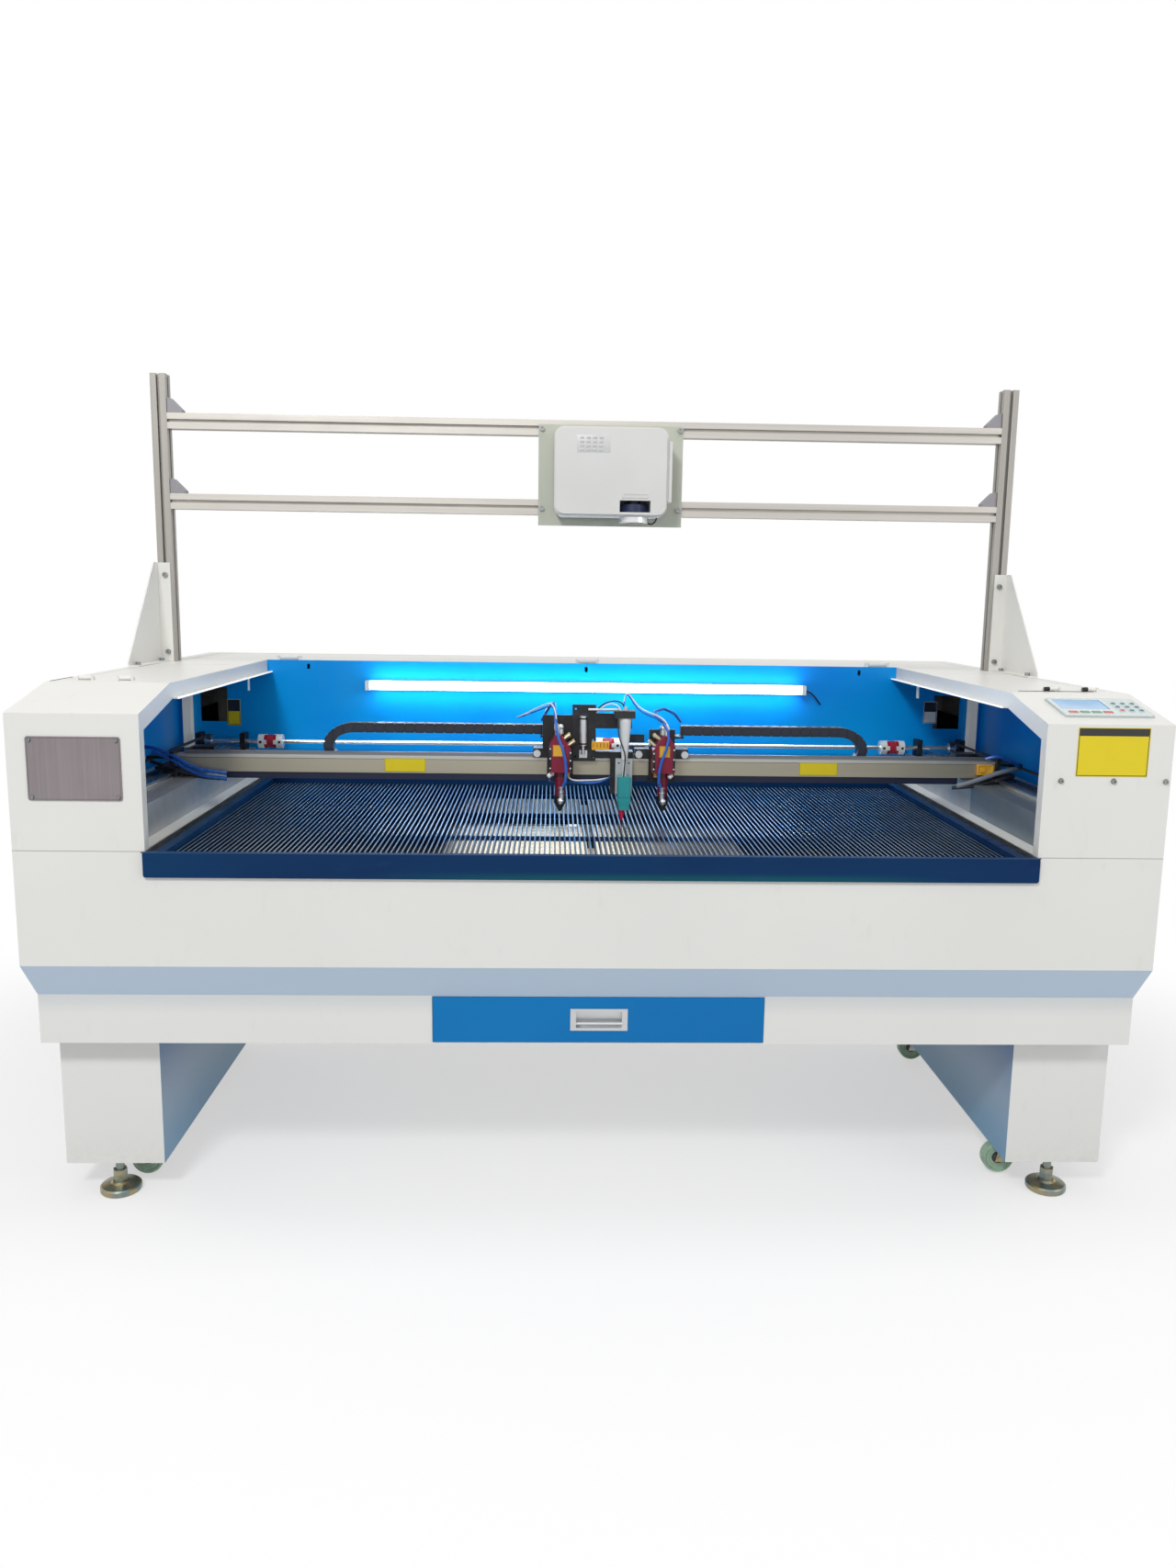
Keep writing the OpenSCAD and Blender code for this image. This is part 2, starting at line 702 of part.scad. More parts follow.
// Closed belt round the drive pulley and the idler, beside each guide.
module y_belts() {
    r = pulley_r + gap;
    color(black) in_place() mirror_pair() {
        difference() {
            union() {
                box_between([belt_x - belt_w / 2, idler_y, shaft_z - r - belt_t],
                            [belt_x + belt_w / 2, shaft_y, shaft_z + r + belt_t]);
                for (y = [idler_y, shaft_y]) {
                    bar("x", 2 * (r + belt_t), belt_w, [belt_x - belt_w / 2, y, shaft_z]);
                }
            }
            box_between([belt_x - belt_w, idler_y, shaft_z - r], [belt_x + belt_w, shaft_y, shaft_z + r]);
            for (y = [idler_y, shaft_y]) bar("x", 2 * r, 2 * belt_w, [belt_x - belt_w, y, shaft_z]);
        }
    }
}

coupling_x = tower_in - 17;
mid_coupling_x = 68;
hub_l = (coupling_l - 18) / 2;
stub = 9 + gap;
bearing_xs = [wall_half + 20, belt_x + 24];
motor_s = 56;
motor_l = 60;
motor_x0 = mid_coupling_x + coupling_l / 2 + 12;

// Bearing blocks of the shaft, the front idlers on their brackets, and the Y motor.
module shaft_bearings() {
    color(black) in_place() {
        mirror_pair() {
            for (x = bearing_xs) difference() {
                box_between([x - 7, shaft_y - 22, rail_top_z + gap], [x + 7, shaft_y + 22, shaft_z + 24]);
                bar("x", shaft_d + 2 * run_gap, 20, [x - 10, shaft_y, shaft_z]);
            }
            bar("x", 2 * pulley_r, belt_w + 2, [belt_x - belt_w / 2 - 1, idler_y, shaft_z]);
            box_between([belt_x + belt_w / 2 + 1, idler_y - 14, rail_top_z + gap],
                        [belt_x + belt_w / 2 + 7, idler_y + 14, shaft_z + 14]);
        }
        // motor under the shaft's middle, on its plate at the back panel, with its belt to the shaft
        box_between([motor_x0, bed_reach - 8, shaft_z - 70],
                    [motor_x0 + motor_l, bed_reach - gap, shaft_z + 24]);
        box_between([motor_x0, shaft_y - motor_s / 2, shaft_z - 38 - motor_s / 2],
                    [motor_x0 + motor_l, bed_reach - 8 + eps, shaft_z - 38 + motor_s / 2]);
    }
}

// Two clamped hubs with a space between them for the spider.
module coupling_hubs(x) {
    bar("x", coupling_d, hub_l, [x + stub, shaft_y, shaft_z]);
    bar("x", coupling_d, hub_l, [x - stub - hub_l, shaft_y, shaft_z]);
}

module shaft_piece(x0, x1) {
    bar("x", shaft_d, x1 - x0, [x0, shaft_y, shaft_z]);
}

module drive_shaft() {
    end_x = bearing_xs[1] + 12;
    color(steel) in_place() {
        shaft_piece(-coupling_x + stub, mid_coupling_x - stub);
        shaft_piece(mid_coupling_x + stub, coupling_x - stub);
        coupling_hubs(mid_coupling_x);
        mirror_pair() {
            shaft_piece(coupling_x + stub, end_x);
            coupling_hubs(coupling_x);
            bar("x", 2 * pulley_r, belt_w + 2, [belt_x - belt_w / 2 - 1, shaft_y, shaft_z]);
        }
    }
}

// Elastic spiders between the coupling hubs.
module shaft_spiders() {
    color([0.70, 0.05, 0.10]) in_place() for (x = [-coupling_x, mid_coupling_x, coupling_x]) {
        bar("x", coupling_d - 3, 18, [x - 9, shaft_y, shaft_z]);
    }
}

// ---------- bed ----------
comb_ys = [90, 360, 640, bed_reach - 133];
blade_n = floor((2 * blade_half - 2 - blade_t) / blade_pitch);

module bed_frame() {
    y_end = bed_reach - 44;
    color(frame_navy) in_place() {
        // front lip, a folded rail with softened ends
        lip_z = (lip_top_z + lip_bottom_z) / 2;
        upright_plate(2 * (tower_in + 3), lip_h, 5, -lip_proud, -gap, 0, lip_z);
        upright_plate(2 * (tower_in - 1), lip_h, 5, -gap - eps, sheet_t + 2, 0, lip_z);
        difference() {
            box_between([-tower_in + 1, sheet_t + 1, bed_z], [tower_in - 1, y_end, border_z]);
            box_between([-blade_half, 22, bed_z - 1], [blade_half, y_end - 14, border_z + 1]);
        }
        // cross bars and side bars under the blades
        for (y = comb_ys) box_between([-blade_half - 1, y - 14, bed_z], [blade_half + 1, y + 14, comb_z - gap]);
        for (s = [-1, 1]) {
            box_between([s * (blade_half - 8) - 10, 20, bed_z],
                        [s * (blade_half - 8) + 10, y_end - 10, comb_z - gap]);
        }
    }
}

// Upright blades set into notched cross bars.
module blade_grid() {
    y0 = 22 + gap + 1;
    y1 = bed_reach - 44 - 14 - 2;
    w = blade_n * blade_pitch;
    color([0.35, 0.42, 0.52]) in_place() {
        for (i = [0 : blade_n]) {
            translate([-w / 2 + i * blade_pitch - blade_t / 2, y0, blade_top_z - blade_h])
                cube([blade_t, y1 - y0, blade_h]);
        }
        for (y = comb_ys) {
            box_between([-blade_half + gap, y - 4, comb_z], [blade_half - gap, y + 4, comb_z + 12]);
        }
    }
}

extract_w = 300;
extract_t = 2;
extract_rows = [
    [comb_ys[0] + 10, comb_ys[1] - 6], [comb_ys[1] + 6, comb_ys[2] - 110], [comb_ys[2] + 45, comb_ys[3] - 6]
];

// Sheets on the cross bars over the extraction duct, either side of the centre bar.
module extraction_plates() {
    color([0.85, 0.85, 0.80]) in_place() mirror_pair() {
        difference() {
            for (r = extract_rows) {
                box_between([10, r[0], comb_z], [10 + extract_w, r[1], comb_z + extract_t]);
            }
            for (i = [0 : 7], y = [extract_rows[0][1] - 100 : 36 : extract_rows[1][1] - 20]) {
                bar("z", 12, 6, [28 + i * 21, y, comb_z - 2]);
            }
        }
        // folded edges of the middle and rear sheets, down to the centre ledge
        for (y = [extract_rows[1][1] - 2, extract_rows[2][0]]) {
            box_between([10, y, ledge_z + gap], [10 + extract_w, y + 2, comb_z + eps]);
        }
    }
}

// ---------- drawer ----------
module drawer() {
    t = 1.5;
    y0 = chamfer_in - 2;
    z0 = apron_z + sheet_t;
    color(panel_blue) in_place() translate([drawer_mid_x, 0, 0]) {
        difference() {
            box_between([drawer_x0, y0, apron_z + 4], [-drawer_x0, y0 + 3, drawer_top_z]);
            box_between([-handle_w / 2, y0 - 1, handle_z - handle_h / 2],
                        [handle_w / 2, y0 + 4, handle_z + handle_h / 2]);
        }
        difference() {
            box_between([drawer_x0 + 6, y0 + 3, z0 + gap], [-drawer_x0 - 6, y0 + drawer_l, drawer_top_z - 8]);
            box_between([drawer_x0 + 6 + t, y0 + 3 + t, z0 + gap + t],
                        [-drawer_x0 - 6 - t, y0 + drawer_l - t, drawer_top_z]);
            box_between([-handle_w / 2, y0 - 1, handle_z - handle_h / 2],
                        [handle_w / 2, y0 + 10, handle_z + handle_h / 2]);
        }
    }
}

handle_x = drawer_mid_x;
handle_z = apron_z + 4 + drawer_h / 2 + 1;
handle_w = 112;
handle_h = 42;

// Flush pull: a recessed cup with a bar across it.
module drawer_pull() {
    y0 = chamfer_in - 2;
    w = handle_w - 2 * gap;
    h = handle_h - 2 * gap;
    color(metal_grey) in_place() translate([handle_x, 0, handle_z]) {
        difference() {
            union() {
                box_between([-w / 2, y0 - 2, -h / 2], [w / 2, y0 + 17, h / 2]);
                box_between([-w / 2 - 4, y0 - 2, -h / 2 - 3], [w / 2 + 4, y0 - gap, h / 2 + 3]);
            }
            box_between([-w / 2 + 8, y0 - 3, -h / 2 + 3], [w / 2 - 8, y0 + 15, h / 2 - 3]);
        }
        bar("x", 7, w - 14, [-w / 2 + 7, y0 + 3, -h / 2 + 11]);
    }
}

// ---------- panel, plates, screws, lamp ----------
slope_angle = atan2(tower_top_z - tower_front_z, slope_run);

// Lays its children on the sloping top: local X across, local Y up the slope, Z out.
module on_slope(x, along) {
    translate([x, 0, tower_front_z]) rotate([slope_angle, 0, 0]) translate([0, along, 0]) children();
}

// Operator panel: a thin plate with a sunk screen, a row of keys under it and a round key pad.
module control_panel() {
    color([0.80, 0.84, 0.84]) in_place() on_slope(tower_in + 145, 100) {
        difference() {
            translate([0, 0, gap]) linear_extrude(panel_t) rounded(panel_w, panel_h, 5);
            translate([-panel_w / 2 + 10, -14, 2.5]) cube([100, panel_h / 2 + 4, panel_t]);
            for (i = [0 : 3]) translate([-panel_w / 2 + 14 + i * 24, -42, 3]) cube([20, 12, panel_t]);
        }
        translate([-panel_w / 2 + 11, -13, 2.5 - eps]) cube([98, panel_h / 2 + 2, 0.8]);
        for (i = [0 : 3]) translate([-panel_w / 2 + 15 + i * 24, -41, 3 - eps]) cube([18, 10, 2.2]);
        for (i = [0 : 2], j = [0 : 2]) {
            translate([panel_w / 2 - 54 + i * 20, -24 + j * 22, panel_t]) cylinder(d = 13, h = 1.5);
        }
    }
}

panel_t = 4;
nameplate_w = 182;
nameplate_h = 126;
nameplate_x = -half_w + 130;
nameplate_z = tower_front_z - 108;

module nameplate() {
    color(metal_grey) in_place() difference() {
        upright_plate(nameplate_w, nameplate_h, 5, -2 - gap, -gap, nameplate_x, nameplate_z);
        for (sx = [-1, 1], sz = [-1, 1]) {
            bar("y", 4.4, 6, [nameplate_x + sx * (nameplate_w / 2 - 8), -4,
                              nameplate_z + sz * (nameplate_h / 2 - 7)]);
        }
    }
}

// Pan head screw in the XZ plane: head from y = -h, with a short shank behind it.
module pan_screw(x, z, face_y, d) {
    translate([x, face_y, z]) rotate([90, 0, 0]) {
        difference() {
            cylinder(d1 = d, d2 = d * 0.7, h = d * 0.4);
            translate([0, 0, d * 0.15]) cylinder(d = d * 0.4, h = d, $fn = 6);
        }
    }
}

// Screws of the nameplate and towers, and the frame's hexagon socket bolts.
module screws() {
    t = 3;
    z0 = tower_top_z + gap;
    yf = upright_y - gap - t;
    color(steel) in_place() {
        for (sx = [-1, 1], sz = [-1, 1]) {
            pan_screw(nameplate_x + sx * (nameplate_w / 2 - 8), nameplate_z + sz * (nameplate_h / 2 - 7),
                      -2 - 2 * gap, 9);
        }
        for (x = [tower_in + 35, tower_in + 142, half_w - 10]) pan_screw(x, seam_z + 159, -gap, 12);
        mirror_pair() {
            for (z = [26, gusset_h - 32]) {
                translate([upright_x, yf - gap, z0 + z]) rotate([90, 0, 0]) bolt_head(13, 7);
            }
            for (y = [34, gusset_l - 34]) {
                translate([half_w - 14, upright_y - gap - y, z0 + t + gap]) bolt_head(13, 7);
            }
        }
        for (sx = [-1, 1], z = [rail_upper_z, rail_lower_z]) {
            translate([plate_x + sx * (plate_w / 2 - 9), upright_y - 3 - 2 * gap, z - 3])
                rotate([90, 0, 0]) bolt_head(13, 7);
        }
    }
}

lamp_x0 = -613;
lamp_l = 1240;
lamp_z = tower_top_z - 66;

module lamp_holder() {
    color([0.92, 0.92, 0.92]) in_place() {
        box_between([lamp_x0, bed_reach - 14, lamp_z - 12], [lamp_x0 + lamp_l, bed_reach - gap, lamp_z + 12]);
        for (x = [lamp_x0, lamp_x0 + lamp_l - 12]) {
            box_between([x, bed_reach - 42, lamp_z - 13], [x + 12, bed_reach - 13, lamp_z + 13]);
        }
        // lead from the lamp's end into the panel
        x1 = lamp_x0 + lamp_l;
        y1 = bed_reach;
        lead_tube([[x1, y1 - 28, lamp_z - 2], [x1 + 14, y1 - 28, lamp_z - 6], [x1 + 30, y1 - 20, lamp_z - 20],
                   [x1 + 44, y1 - 8, lamp_z - 36], [x1 + 50, y1 - 3, lamp_z - 42]], 2.5, [0, 0, 1]);
    }
}

module lamp_tube() {
    color([1, 1, 1]) in_place()
        bar("x", 24, lamp_l - 25, [lamp_x0 + 12.5, bed_reach - 28, lamp_z]);
}

// ---------- tube swept along a route ----------
function unit(v) = v / norm(v);
function tangent(route, i) = unit(route[min(i + 1, len(route) - 1)] - route[max(i - 1, 0)]);
function ring(route, i, r, up, n) =
    let (t = tangent(route, i), u = unit(cross(t, up)), w = cross(u, t))
    [for (k = [0 : n - 1]) route[i] + r * (cos(360 * k / n) * u + sin(360 * k / n) * w)];

module lead_tube(route, r, up, n = 8) {
    m = len(route);
    points = [for (i = [0 : m - 1]) each ring(route, i, r, up, n)];
    sides = [for (i = [0 : m - 2], k = [0 : n - 1])
        let (a = i * n + k, b = i * n + (k + 1) % n) each [[a, b, b + n], [a, b + n, a + n]]];
    polyhedron(points, concat([[for (k = [n - 1 : -1 : 0]) k]], sides,
                              [[for (k = [0 : n - 1]) (m - 1) * n + k]]));
}

// ---------- projector frame ----------
// Slotted square profile, centred, as a flat outline.
module profile_2d() {
    difference() {
        square(profile, center = true);
        circle(d = 6.8);
        for (a = [0 : 90 : 270]) rotate(a) {
            translate([profile / 2 - 4.5, -4.1]) square([5, 8.2]);
            translate([profile / 2 - 10.5, -8]) square([6.1, 16]);
        }
    }
}

upright_x = half_w - upright_gap - profile / 2;
rail_half = upright_x - profile / 2 - gap;
upright_mid_y = upright_y + profile / 2;

module uprights() {
    color(anodised) in_place() mirror_pair()
        translate([upright_x, upright_mid_y, tower_top_z + gap])
            linear_extrude(upright_top_z - tower_top_z - gap) profile_2d();
}

module frame_rails() {
    color(anodised) in_place() for (z = [rail_upper_z, rail_lower_z])
        translate([-rail_half, upright_mid_y, z]) rotate([0, 90, 0]) linear_extrude(2 * rail_half) profile_2d();
}

// Cast corner bracket in the angle over each rail's end.
module corner_brackets() {
    leg = 38;
    color(steel) in_place() mirror_pair() for (z = [rail_upper_z, rail_lower_z]) {
        translate([rail_half, 0, z + profile / 2 + gap]) difference() {
            along_y([[0, 0], [0, leg], [-8, leg], [-leg, 8], [-leg, 0]],
                    upright_y + 4, upright_y + profile - 4);
            along_y([[-5, 5], [-5, leg - 8], [-leg + 8, 5]], upright_y + 8, upright_y + profile - 8);
            bar("z", 7, 10, [-leg / 2, upright_mid_y, -2]);
            bar("x", 7, 10, [-8, upright_mid_y, leg / 2]);
        }
    }
}

// Folded gusset: front flange on the upright, web running forward, foot flange on the tower.
module gusset() {
    t = 3;
    x1 = half_w;
    z0 = tower_top_z + gap;
    yf = upright_y - gap;
    difference() {
        union() {
            box_between([x1 - 36, yf - t, z0], [x1, yf, z0 + gusset_h]);
            along_x([[yf, z0], [yf, z0 + gusset_h], [yf - 30, z0 + gusset_h],
                     [yf - gusset_l, z0 + 12], [yf - gusset_l, z0]], x1 - t, x1);
            box_between([x1 - 26, yf - gusset_l, z0], [x1, yf, z0 + t]);
        }
        for (z = [26, gusset_h - 32]) bar("y", 9, 12, [upright_x, yf - 6, z0 + z]);
        for (y = [34, gusset_l - 34]) bar("z", 9, 12, [x1 - 14, yf - y, z0 - 4]);
    }
}

module gussets() { color(panel_white) in_place() mirror_pair() gusset(); }

module bolt_head(d, h) {
    difference() {
        cylinder(d = d, h = h);
        translate([0, 0, h / 2]) cylinder(d = d / 2, h = h, $fn = 6);
    }
}

plate_mid_z = (rail_upper_z + rail_lower_z) / 2 - 20;

module projector_plate() {
    color(panel_white) in_place() difference() {
        box_between([plate_x - plate_w / 2, upright_y - 3 - gap, plate_mid_z - plate_h / 2],
                    [plate_x + plate_w / 2, upright_y - gap, plate_mid_z + plate_h / 2]);
        for (sx = [-1, 1], z = [rail_upper_z, rail_lower_z]) {
            bar("y", 9, 8, [plate_x + sx * (plate_w / 2 - 9), upright_y - 6, z - 3]);
        }
    }
}

case_x = plate_x - 3;
case_z = plate_mid_z + 2;
case_back_y = upright_y - 3 - 2 * gap - 8;
case_front_y = case_back_y - case_t;
lens_x = case_x + case_w / 2 - 84;
lens_y = case_back_y - case_t / 2;
ring_r = case_t / 2 - 14;

// Projector hung with its lens looking down: rounded case, feet, window and lens barrel.
module projector_case() {
    color([0.92, 0.92, 0.92]) in_place() {
        difference() {
            union() {
                upright_plate(case_w, case_h, case_r, case_front_y + 8, case_back_y, case_x, case_z);
                upright_plate(case_w - 8, case_h - 8, case_r - 4, case_front_y, case_front_y + 9,
                              case_x, case_z);
                box_between([case_x + case_w / 2 - 4, case_front_y + 20, case_z - 74],
                            [case_x + case_w / 2 + 12, case_back_y - 10, case_z + 80]);
            }
            // recess of the ring, open below, and its window in the front
            bar("z", 2 * ring_r + 8, 44, [lens_x, lens_y, case_z - case_h / 2 - 1]);
            box_between([lens_x - ring_r - 4, case_front_y - 1, case_z - case_h / 2 + 10],
                        [lens_x + ring_r + 4, lens_y, case_z - case_h / 2 + 40]);
        }
        // fixed inner barrel that carries the ring, and the lens rim below it
        bar("z", 36, 45, [lens_x, lens_y, case_z - case_h / 2]);
        bar("z", 2 * ring_r + 4, 19, [lens_x, lens_y, case_z - case_h / 2 - 14]);
        // mounting feet down to the plate
        for (sx = [-1, 1], sz = [-1, 1]) {
            bar("y", 18, case_fit + 1, [case_x + sx * 100, case_back_y - 1, case_z + sz * 70]);
        }
    }
}

case_fit = 8;

module projector_focus_ring() {
    color(black) in_place() translate([lens_x, lens_y, case_z - case_h / 2 + 8]) difference() {
        union() {
            cylinder(r = ring_r, h = 24);
            for (a = [0 : 20 : 340]) rotate(a) translate([ring_r - 1, -2, 2]) cube([2.4, 4, 20]);
        }
        translate([0, 0, -1]) cylinder(d = 36 + 4 * run_gap, h = 40);
    }
}

// ---------- gantry ----------
beam_half = guide_x - 10;
beam_top_z = beam_z + beam_h;
beam_wall = 3;
x_guide_h = 9;
x_guide_y = gantry_y + 9;
x_guide_w = 12;
tray_half = beam_half - 60;
motor_x = guide_x - 24 - motor_s / 2;
motor_z = beam_z + beam_h / 2;
motor_y = gantry_y + beam_d + chain_w + 10;

module gantry_beam() {
    y0 = gantry_y;
    y1 = gantry_y + beam_d;
    color(anodised) in_place() {
        difference() {
            box_between([-beam_half, y0, beam_z], [beam_half, y1, beam_top_z]);
            box_between([-beam_half - 1, y0 + beam_wall, beam_z + beam_wall],
                        [beam_half + 1, y1 - beam_wall, beam_top_z - beam_wall]);
            // holes for the shafts of the X motors
            for (s = [-1, 1]) bar("y", 14, 20, [s * motor_x, y1 - 10, motor_z]);
        }
        // guide rail on top
        box_between([-beam_half + 20, x_guide_y, beam_top_z - eps],
                    [beam_half - 20, x_guide_y + x_guide_w, beam_top_z + x_guide_h]);
        // tray for the drag chains behind the beam
        box_between([-tray_half, y1 - eps, beam_z], [tray_half, y1 + chain_w + 8, beam_z + 2]);
        // cable cover below the beam
        box_between([-tower_in + 26, y0 + 4, beam_z - 16], [tower_in + 4, y1 - 4, beam_z + eps]);
    }
}

end_y0 = gantry_y - 12;
end_y1 = gantry_y + beam_d + 48;
block_l = 34;
base_z = rail_top_z + guide_h + 6;

// End brackets: two guide blocks on each rail, a base plate, a cheek and the belt clamp.
module gantry_end() {
    base_t = beam_z - base_z - gap;
    difference() {
        union() {
            for (y = [end_y0 + 2, end_y1 - block_l - 2]) {
                box_between([guide_x - 17, y, rail_top_z + 3], [guide_x + 17, y + block_l, base_z]);
            }
            box_between([guide_x - 22, end_y0, base_z - eps], [guide_x + 34, end_y1, base_z + 8]);
            // cheek that closes the beam's end
            box_between([beam_half + gap, end_y0, base_z + 4], [beam_half + 9, end_y1 - 30, beam_top_z + 8]);
            // arm that clamps the belt's upper run
            box_between([beam_half + 8, gantry_y + 6, belt_top_z + gap],
                        [belt_x + belt_w / 2, gantry_y + 34, belt_top_z + 7]);
        }
        // groove that runs on the guide
        box_between([guide_x - 7.5 - 2 * gap, end_y0 - 1, rail_top_z],
                    [guide_x + 7.5 + 2 * gap, end_y1 + 1, rail_top_z + guide_h + gap]);
        // seat of the beam, its tray and its cable cover
        box_between([guide_x - 60, gantry_y - gap, beam_z - gap],
                    [beam_half + gap, gantry_y + beam_d + gap, beam_top_z + 20]);
    }
}

belt_top_z = shaft_z + pulley_r + gap + belt_t;

module gantry_ends() { color(black) in_place() mirror_pair() gantry_end(); }

// X motors behind the beam, with the shaft, pulley and belt of each inside the beam.
module x_motors() {
    s = motor_s;
    inner = beam_h / 2 - beam_wall - 2;
    belt_y = gantry_y + beam_d / 2 + 2;
    color(black) in_place() mirror_pair() {
        box_between([motor_x - s / 2, motor_y, motor_z - s / 2],
                    [motor_x + s / 2, motor_y + 44, motor_z + s / 2]);
        bar("y", 8, motor_y - belt_y + 1, [motor_x, belt_y, motor_z]);
        bar("y", 2 * inner - 2 * belt_t - 1, 10, [motor_x, belt_y - 5, motor_z]);
        bar("y", 2 * inner - 2 * belt_t - 1, 10, [40, belt_y - 5, motor_z]);
        difference() {
            box_between([40 - inner, belt_y - 4, motor_z - inner],
                        [motor_x + inner, belt_y + 4, motor_z + inner]);
            box_between([40 - inner + belt_t, belt_y - 5, motor_z - inner + belt_t],
                        [motor_x + inner - belt_t, belt_y + 5, motor_z + inner - belt_t]);
        }
        // plate that hangs the motor on the beam's rear wall
        difference() {
            box_between([motor_x + s / 2 - 5, gantry_y + beam_d + gap, motor_z - s / 2],
                        [motor_x + s / 2, motor_y + eps, motor_z + s / 2]);
            box_between([motor_x + s / 2 - 6, gantry_y, beam_z - gap],
                        [motor_x + s / 2 + 1, gantry_y + beam_d + chain_w + 9, beam_z + 2 + gap]);
        }
    }
}

// ---------- drag chains ----------
chain_y0 = gantry_y + beam_d + 4;
chain_low_z = beam_z + 2 + gap;
chain_mid_z = chain_low_z + bend_r;
chain_high_z = chain_low_z + 2 * bend_r - link_h;

// Straight run of chain links from x0 to x1, with a groove between links.
module chain_run(x0, x1, z) {
    n = max(1, floor((x1 - x0) / link_l));
    difference() {
        box_between([x0, chain_y0, z], [x1, chain_y0 + chain_w, z + link_h]);
        for (i = [1 : n], zz = [z - 1, z + link_h - 2]) {
            box_between([x0 + i * link_l - 1.5, chain_y0 - 1, zz],
                        [x0 + i * link_l + 1.5, chain_y0 + chain_w + 1, zz + 3]);
        }
    }
}

// Flat half ring of links that turns the chain over; side is -1 for the left chain.
function bend_point(side, a, r, t) = [side * a * cos(t), r * sin(t)];

module chain_bend(outer_x, side) {
    n = 24;
    translate([outer_x - side * bend_a, chain_y0 + chain_w, chain_mid_z]) rotate([90, 0, 0]) difference() {
        linear_extrude(chain_w) polygon(concat(
            [for (i = [0 : n]) bend_point(side, bend_a, bend_r, -90 + i * 180 / n)],
            [for (i = [n : -1 : 0]) bend_point(side, bend_a - link_h, bend_r - link_h, -90 + i * 180 / n)]));
        for (t = [-70 : 20 : 70]) translate(bend_point(side, bend_a, bend_r, t))
            rotate(atan2(bend_a * sin(t), side * bend_r * cos(t)))
                translate([-2, -1.5, -1]) cube([4, 3, chain_w + 2]);
    }
}

left_mid_x = bend_left_x + bend_a;
right_mid_x = bend_right_x - bend_a;
chain_fixed_left = head_left_x - 100;
chain_fixed_right = head_right_x + 27;
chain_end_left = head_left_x - 48;
chain_end_right = head_right_x + 56;

module chain_lower_left() {
    color(black) in_place() chain_run(left_mid_x + gap, chain_fixed_left, chain_low_z);
}

module chain_lower_right() {
    color(black) in_place() chain_run(chain_fixed_right, right_mid_x - gap, chain_low_z);
}

module chain_bend_left() { color(black) in_place() chain_bend(bend_left_x, -1); }
module chain_bend_right() { color(black) in_place() chain_bend(bend_right_x, 1); }

module chain_upper_left() {
    color(black) in_place() chain_run(left_mid_x + gap, chain_end_left, chain_high_z);
}

module chain_upper_right() {
    color(black) in_place() chain_run(chain_end_right, right_mid_x - gap, chain_high_z);
}

// ---------- carriages ----------
head_y = gantry_y - head_reach;
plate_y1 = gantry_y - 4;
plate_y0 = plate_y1 - 6;
face_half = 31;
base_half = 64;
base_top_z = beam_top_z + 24;

// Carriage: long block on the beam's guide, face plate in front, and the arm to the chain's end.
module carriage_body(x, side, top_z) {
    difference() {
        box_between([x - face_half, plate_y0, beam_z - 16], [x + face_half, plate_y1, top_z]);
        for (z = [beam_z - 8, beam_top_z + 34], sx = [-1, 1]) bar("y", 4, 10, [x + sx * 28.5, plate_y0 - 1, z]);
    }
    difference() {
        box_between([x - base_half, plate_y1 - 2, beam_top_z + 2],
                    [x + base_half, gantry_y + beam_d - 10, base_top_z]);
        box_between([x - base_half - 1, x_guide_y - gap, beam_top_z + 1],
                    [x + base_half + 1, x_guide_y + x_guide_w + gap, beam_top_z + x_guide_h + gap]);
    }
    // adjusting rollers at both ends of the block
    for (sx = [-1, 1]) bar("y", 17, 12, [x + sx * (base_half - 9), plate_y1 - 13, beam_top_z + 12]);
    // arm behind the face plate, up to the chain's last link
    end_x = side < 0 ? chain_end_left + gap : chain_end_right - gap - 5;
    arm_x0 = min(end_x, x - 10);
    arm_x1 = max(end_x + 5, x + 10);
    arm_y0 = gantry_y + beam_d - 18;
    box_between([x - 10, arm_y0, base_top_z - eps], [x + 10, arm_y0 + 8, chain_high_z - gap]);
    box_between([arm_x0, arm_y0, chain_high_z - 5], [arm_x1, chain_y0 + chain_w, chain_high_z - gap]);
    box_between([end_x, chain_y0, chain_high_z - 2], [end_x + 5, chain_y0 + chain_w, chain_high_z + link_h]);
}

left_top_z = beam_top_z + 104;
right_top_z = beam_top_z + 72;
frame_z0 = beam_top_z + 74;
frame_z1 = beam_top_z + 110;
frame_top_z = beam_top_z + 130;
frame_y0 = plate_y0 - 6;
frame_x = [28, 84];
bolt_rise = 46;
post_x0 = marker_x - 32;
post_x1 = marker_x - 10;

module carriage_right() {
    color(black) in_place() carriage_body(head_right_x, 1, right_top_z);
}

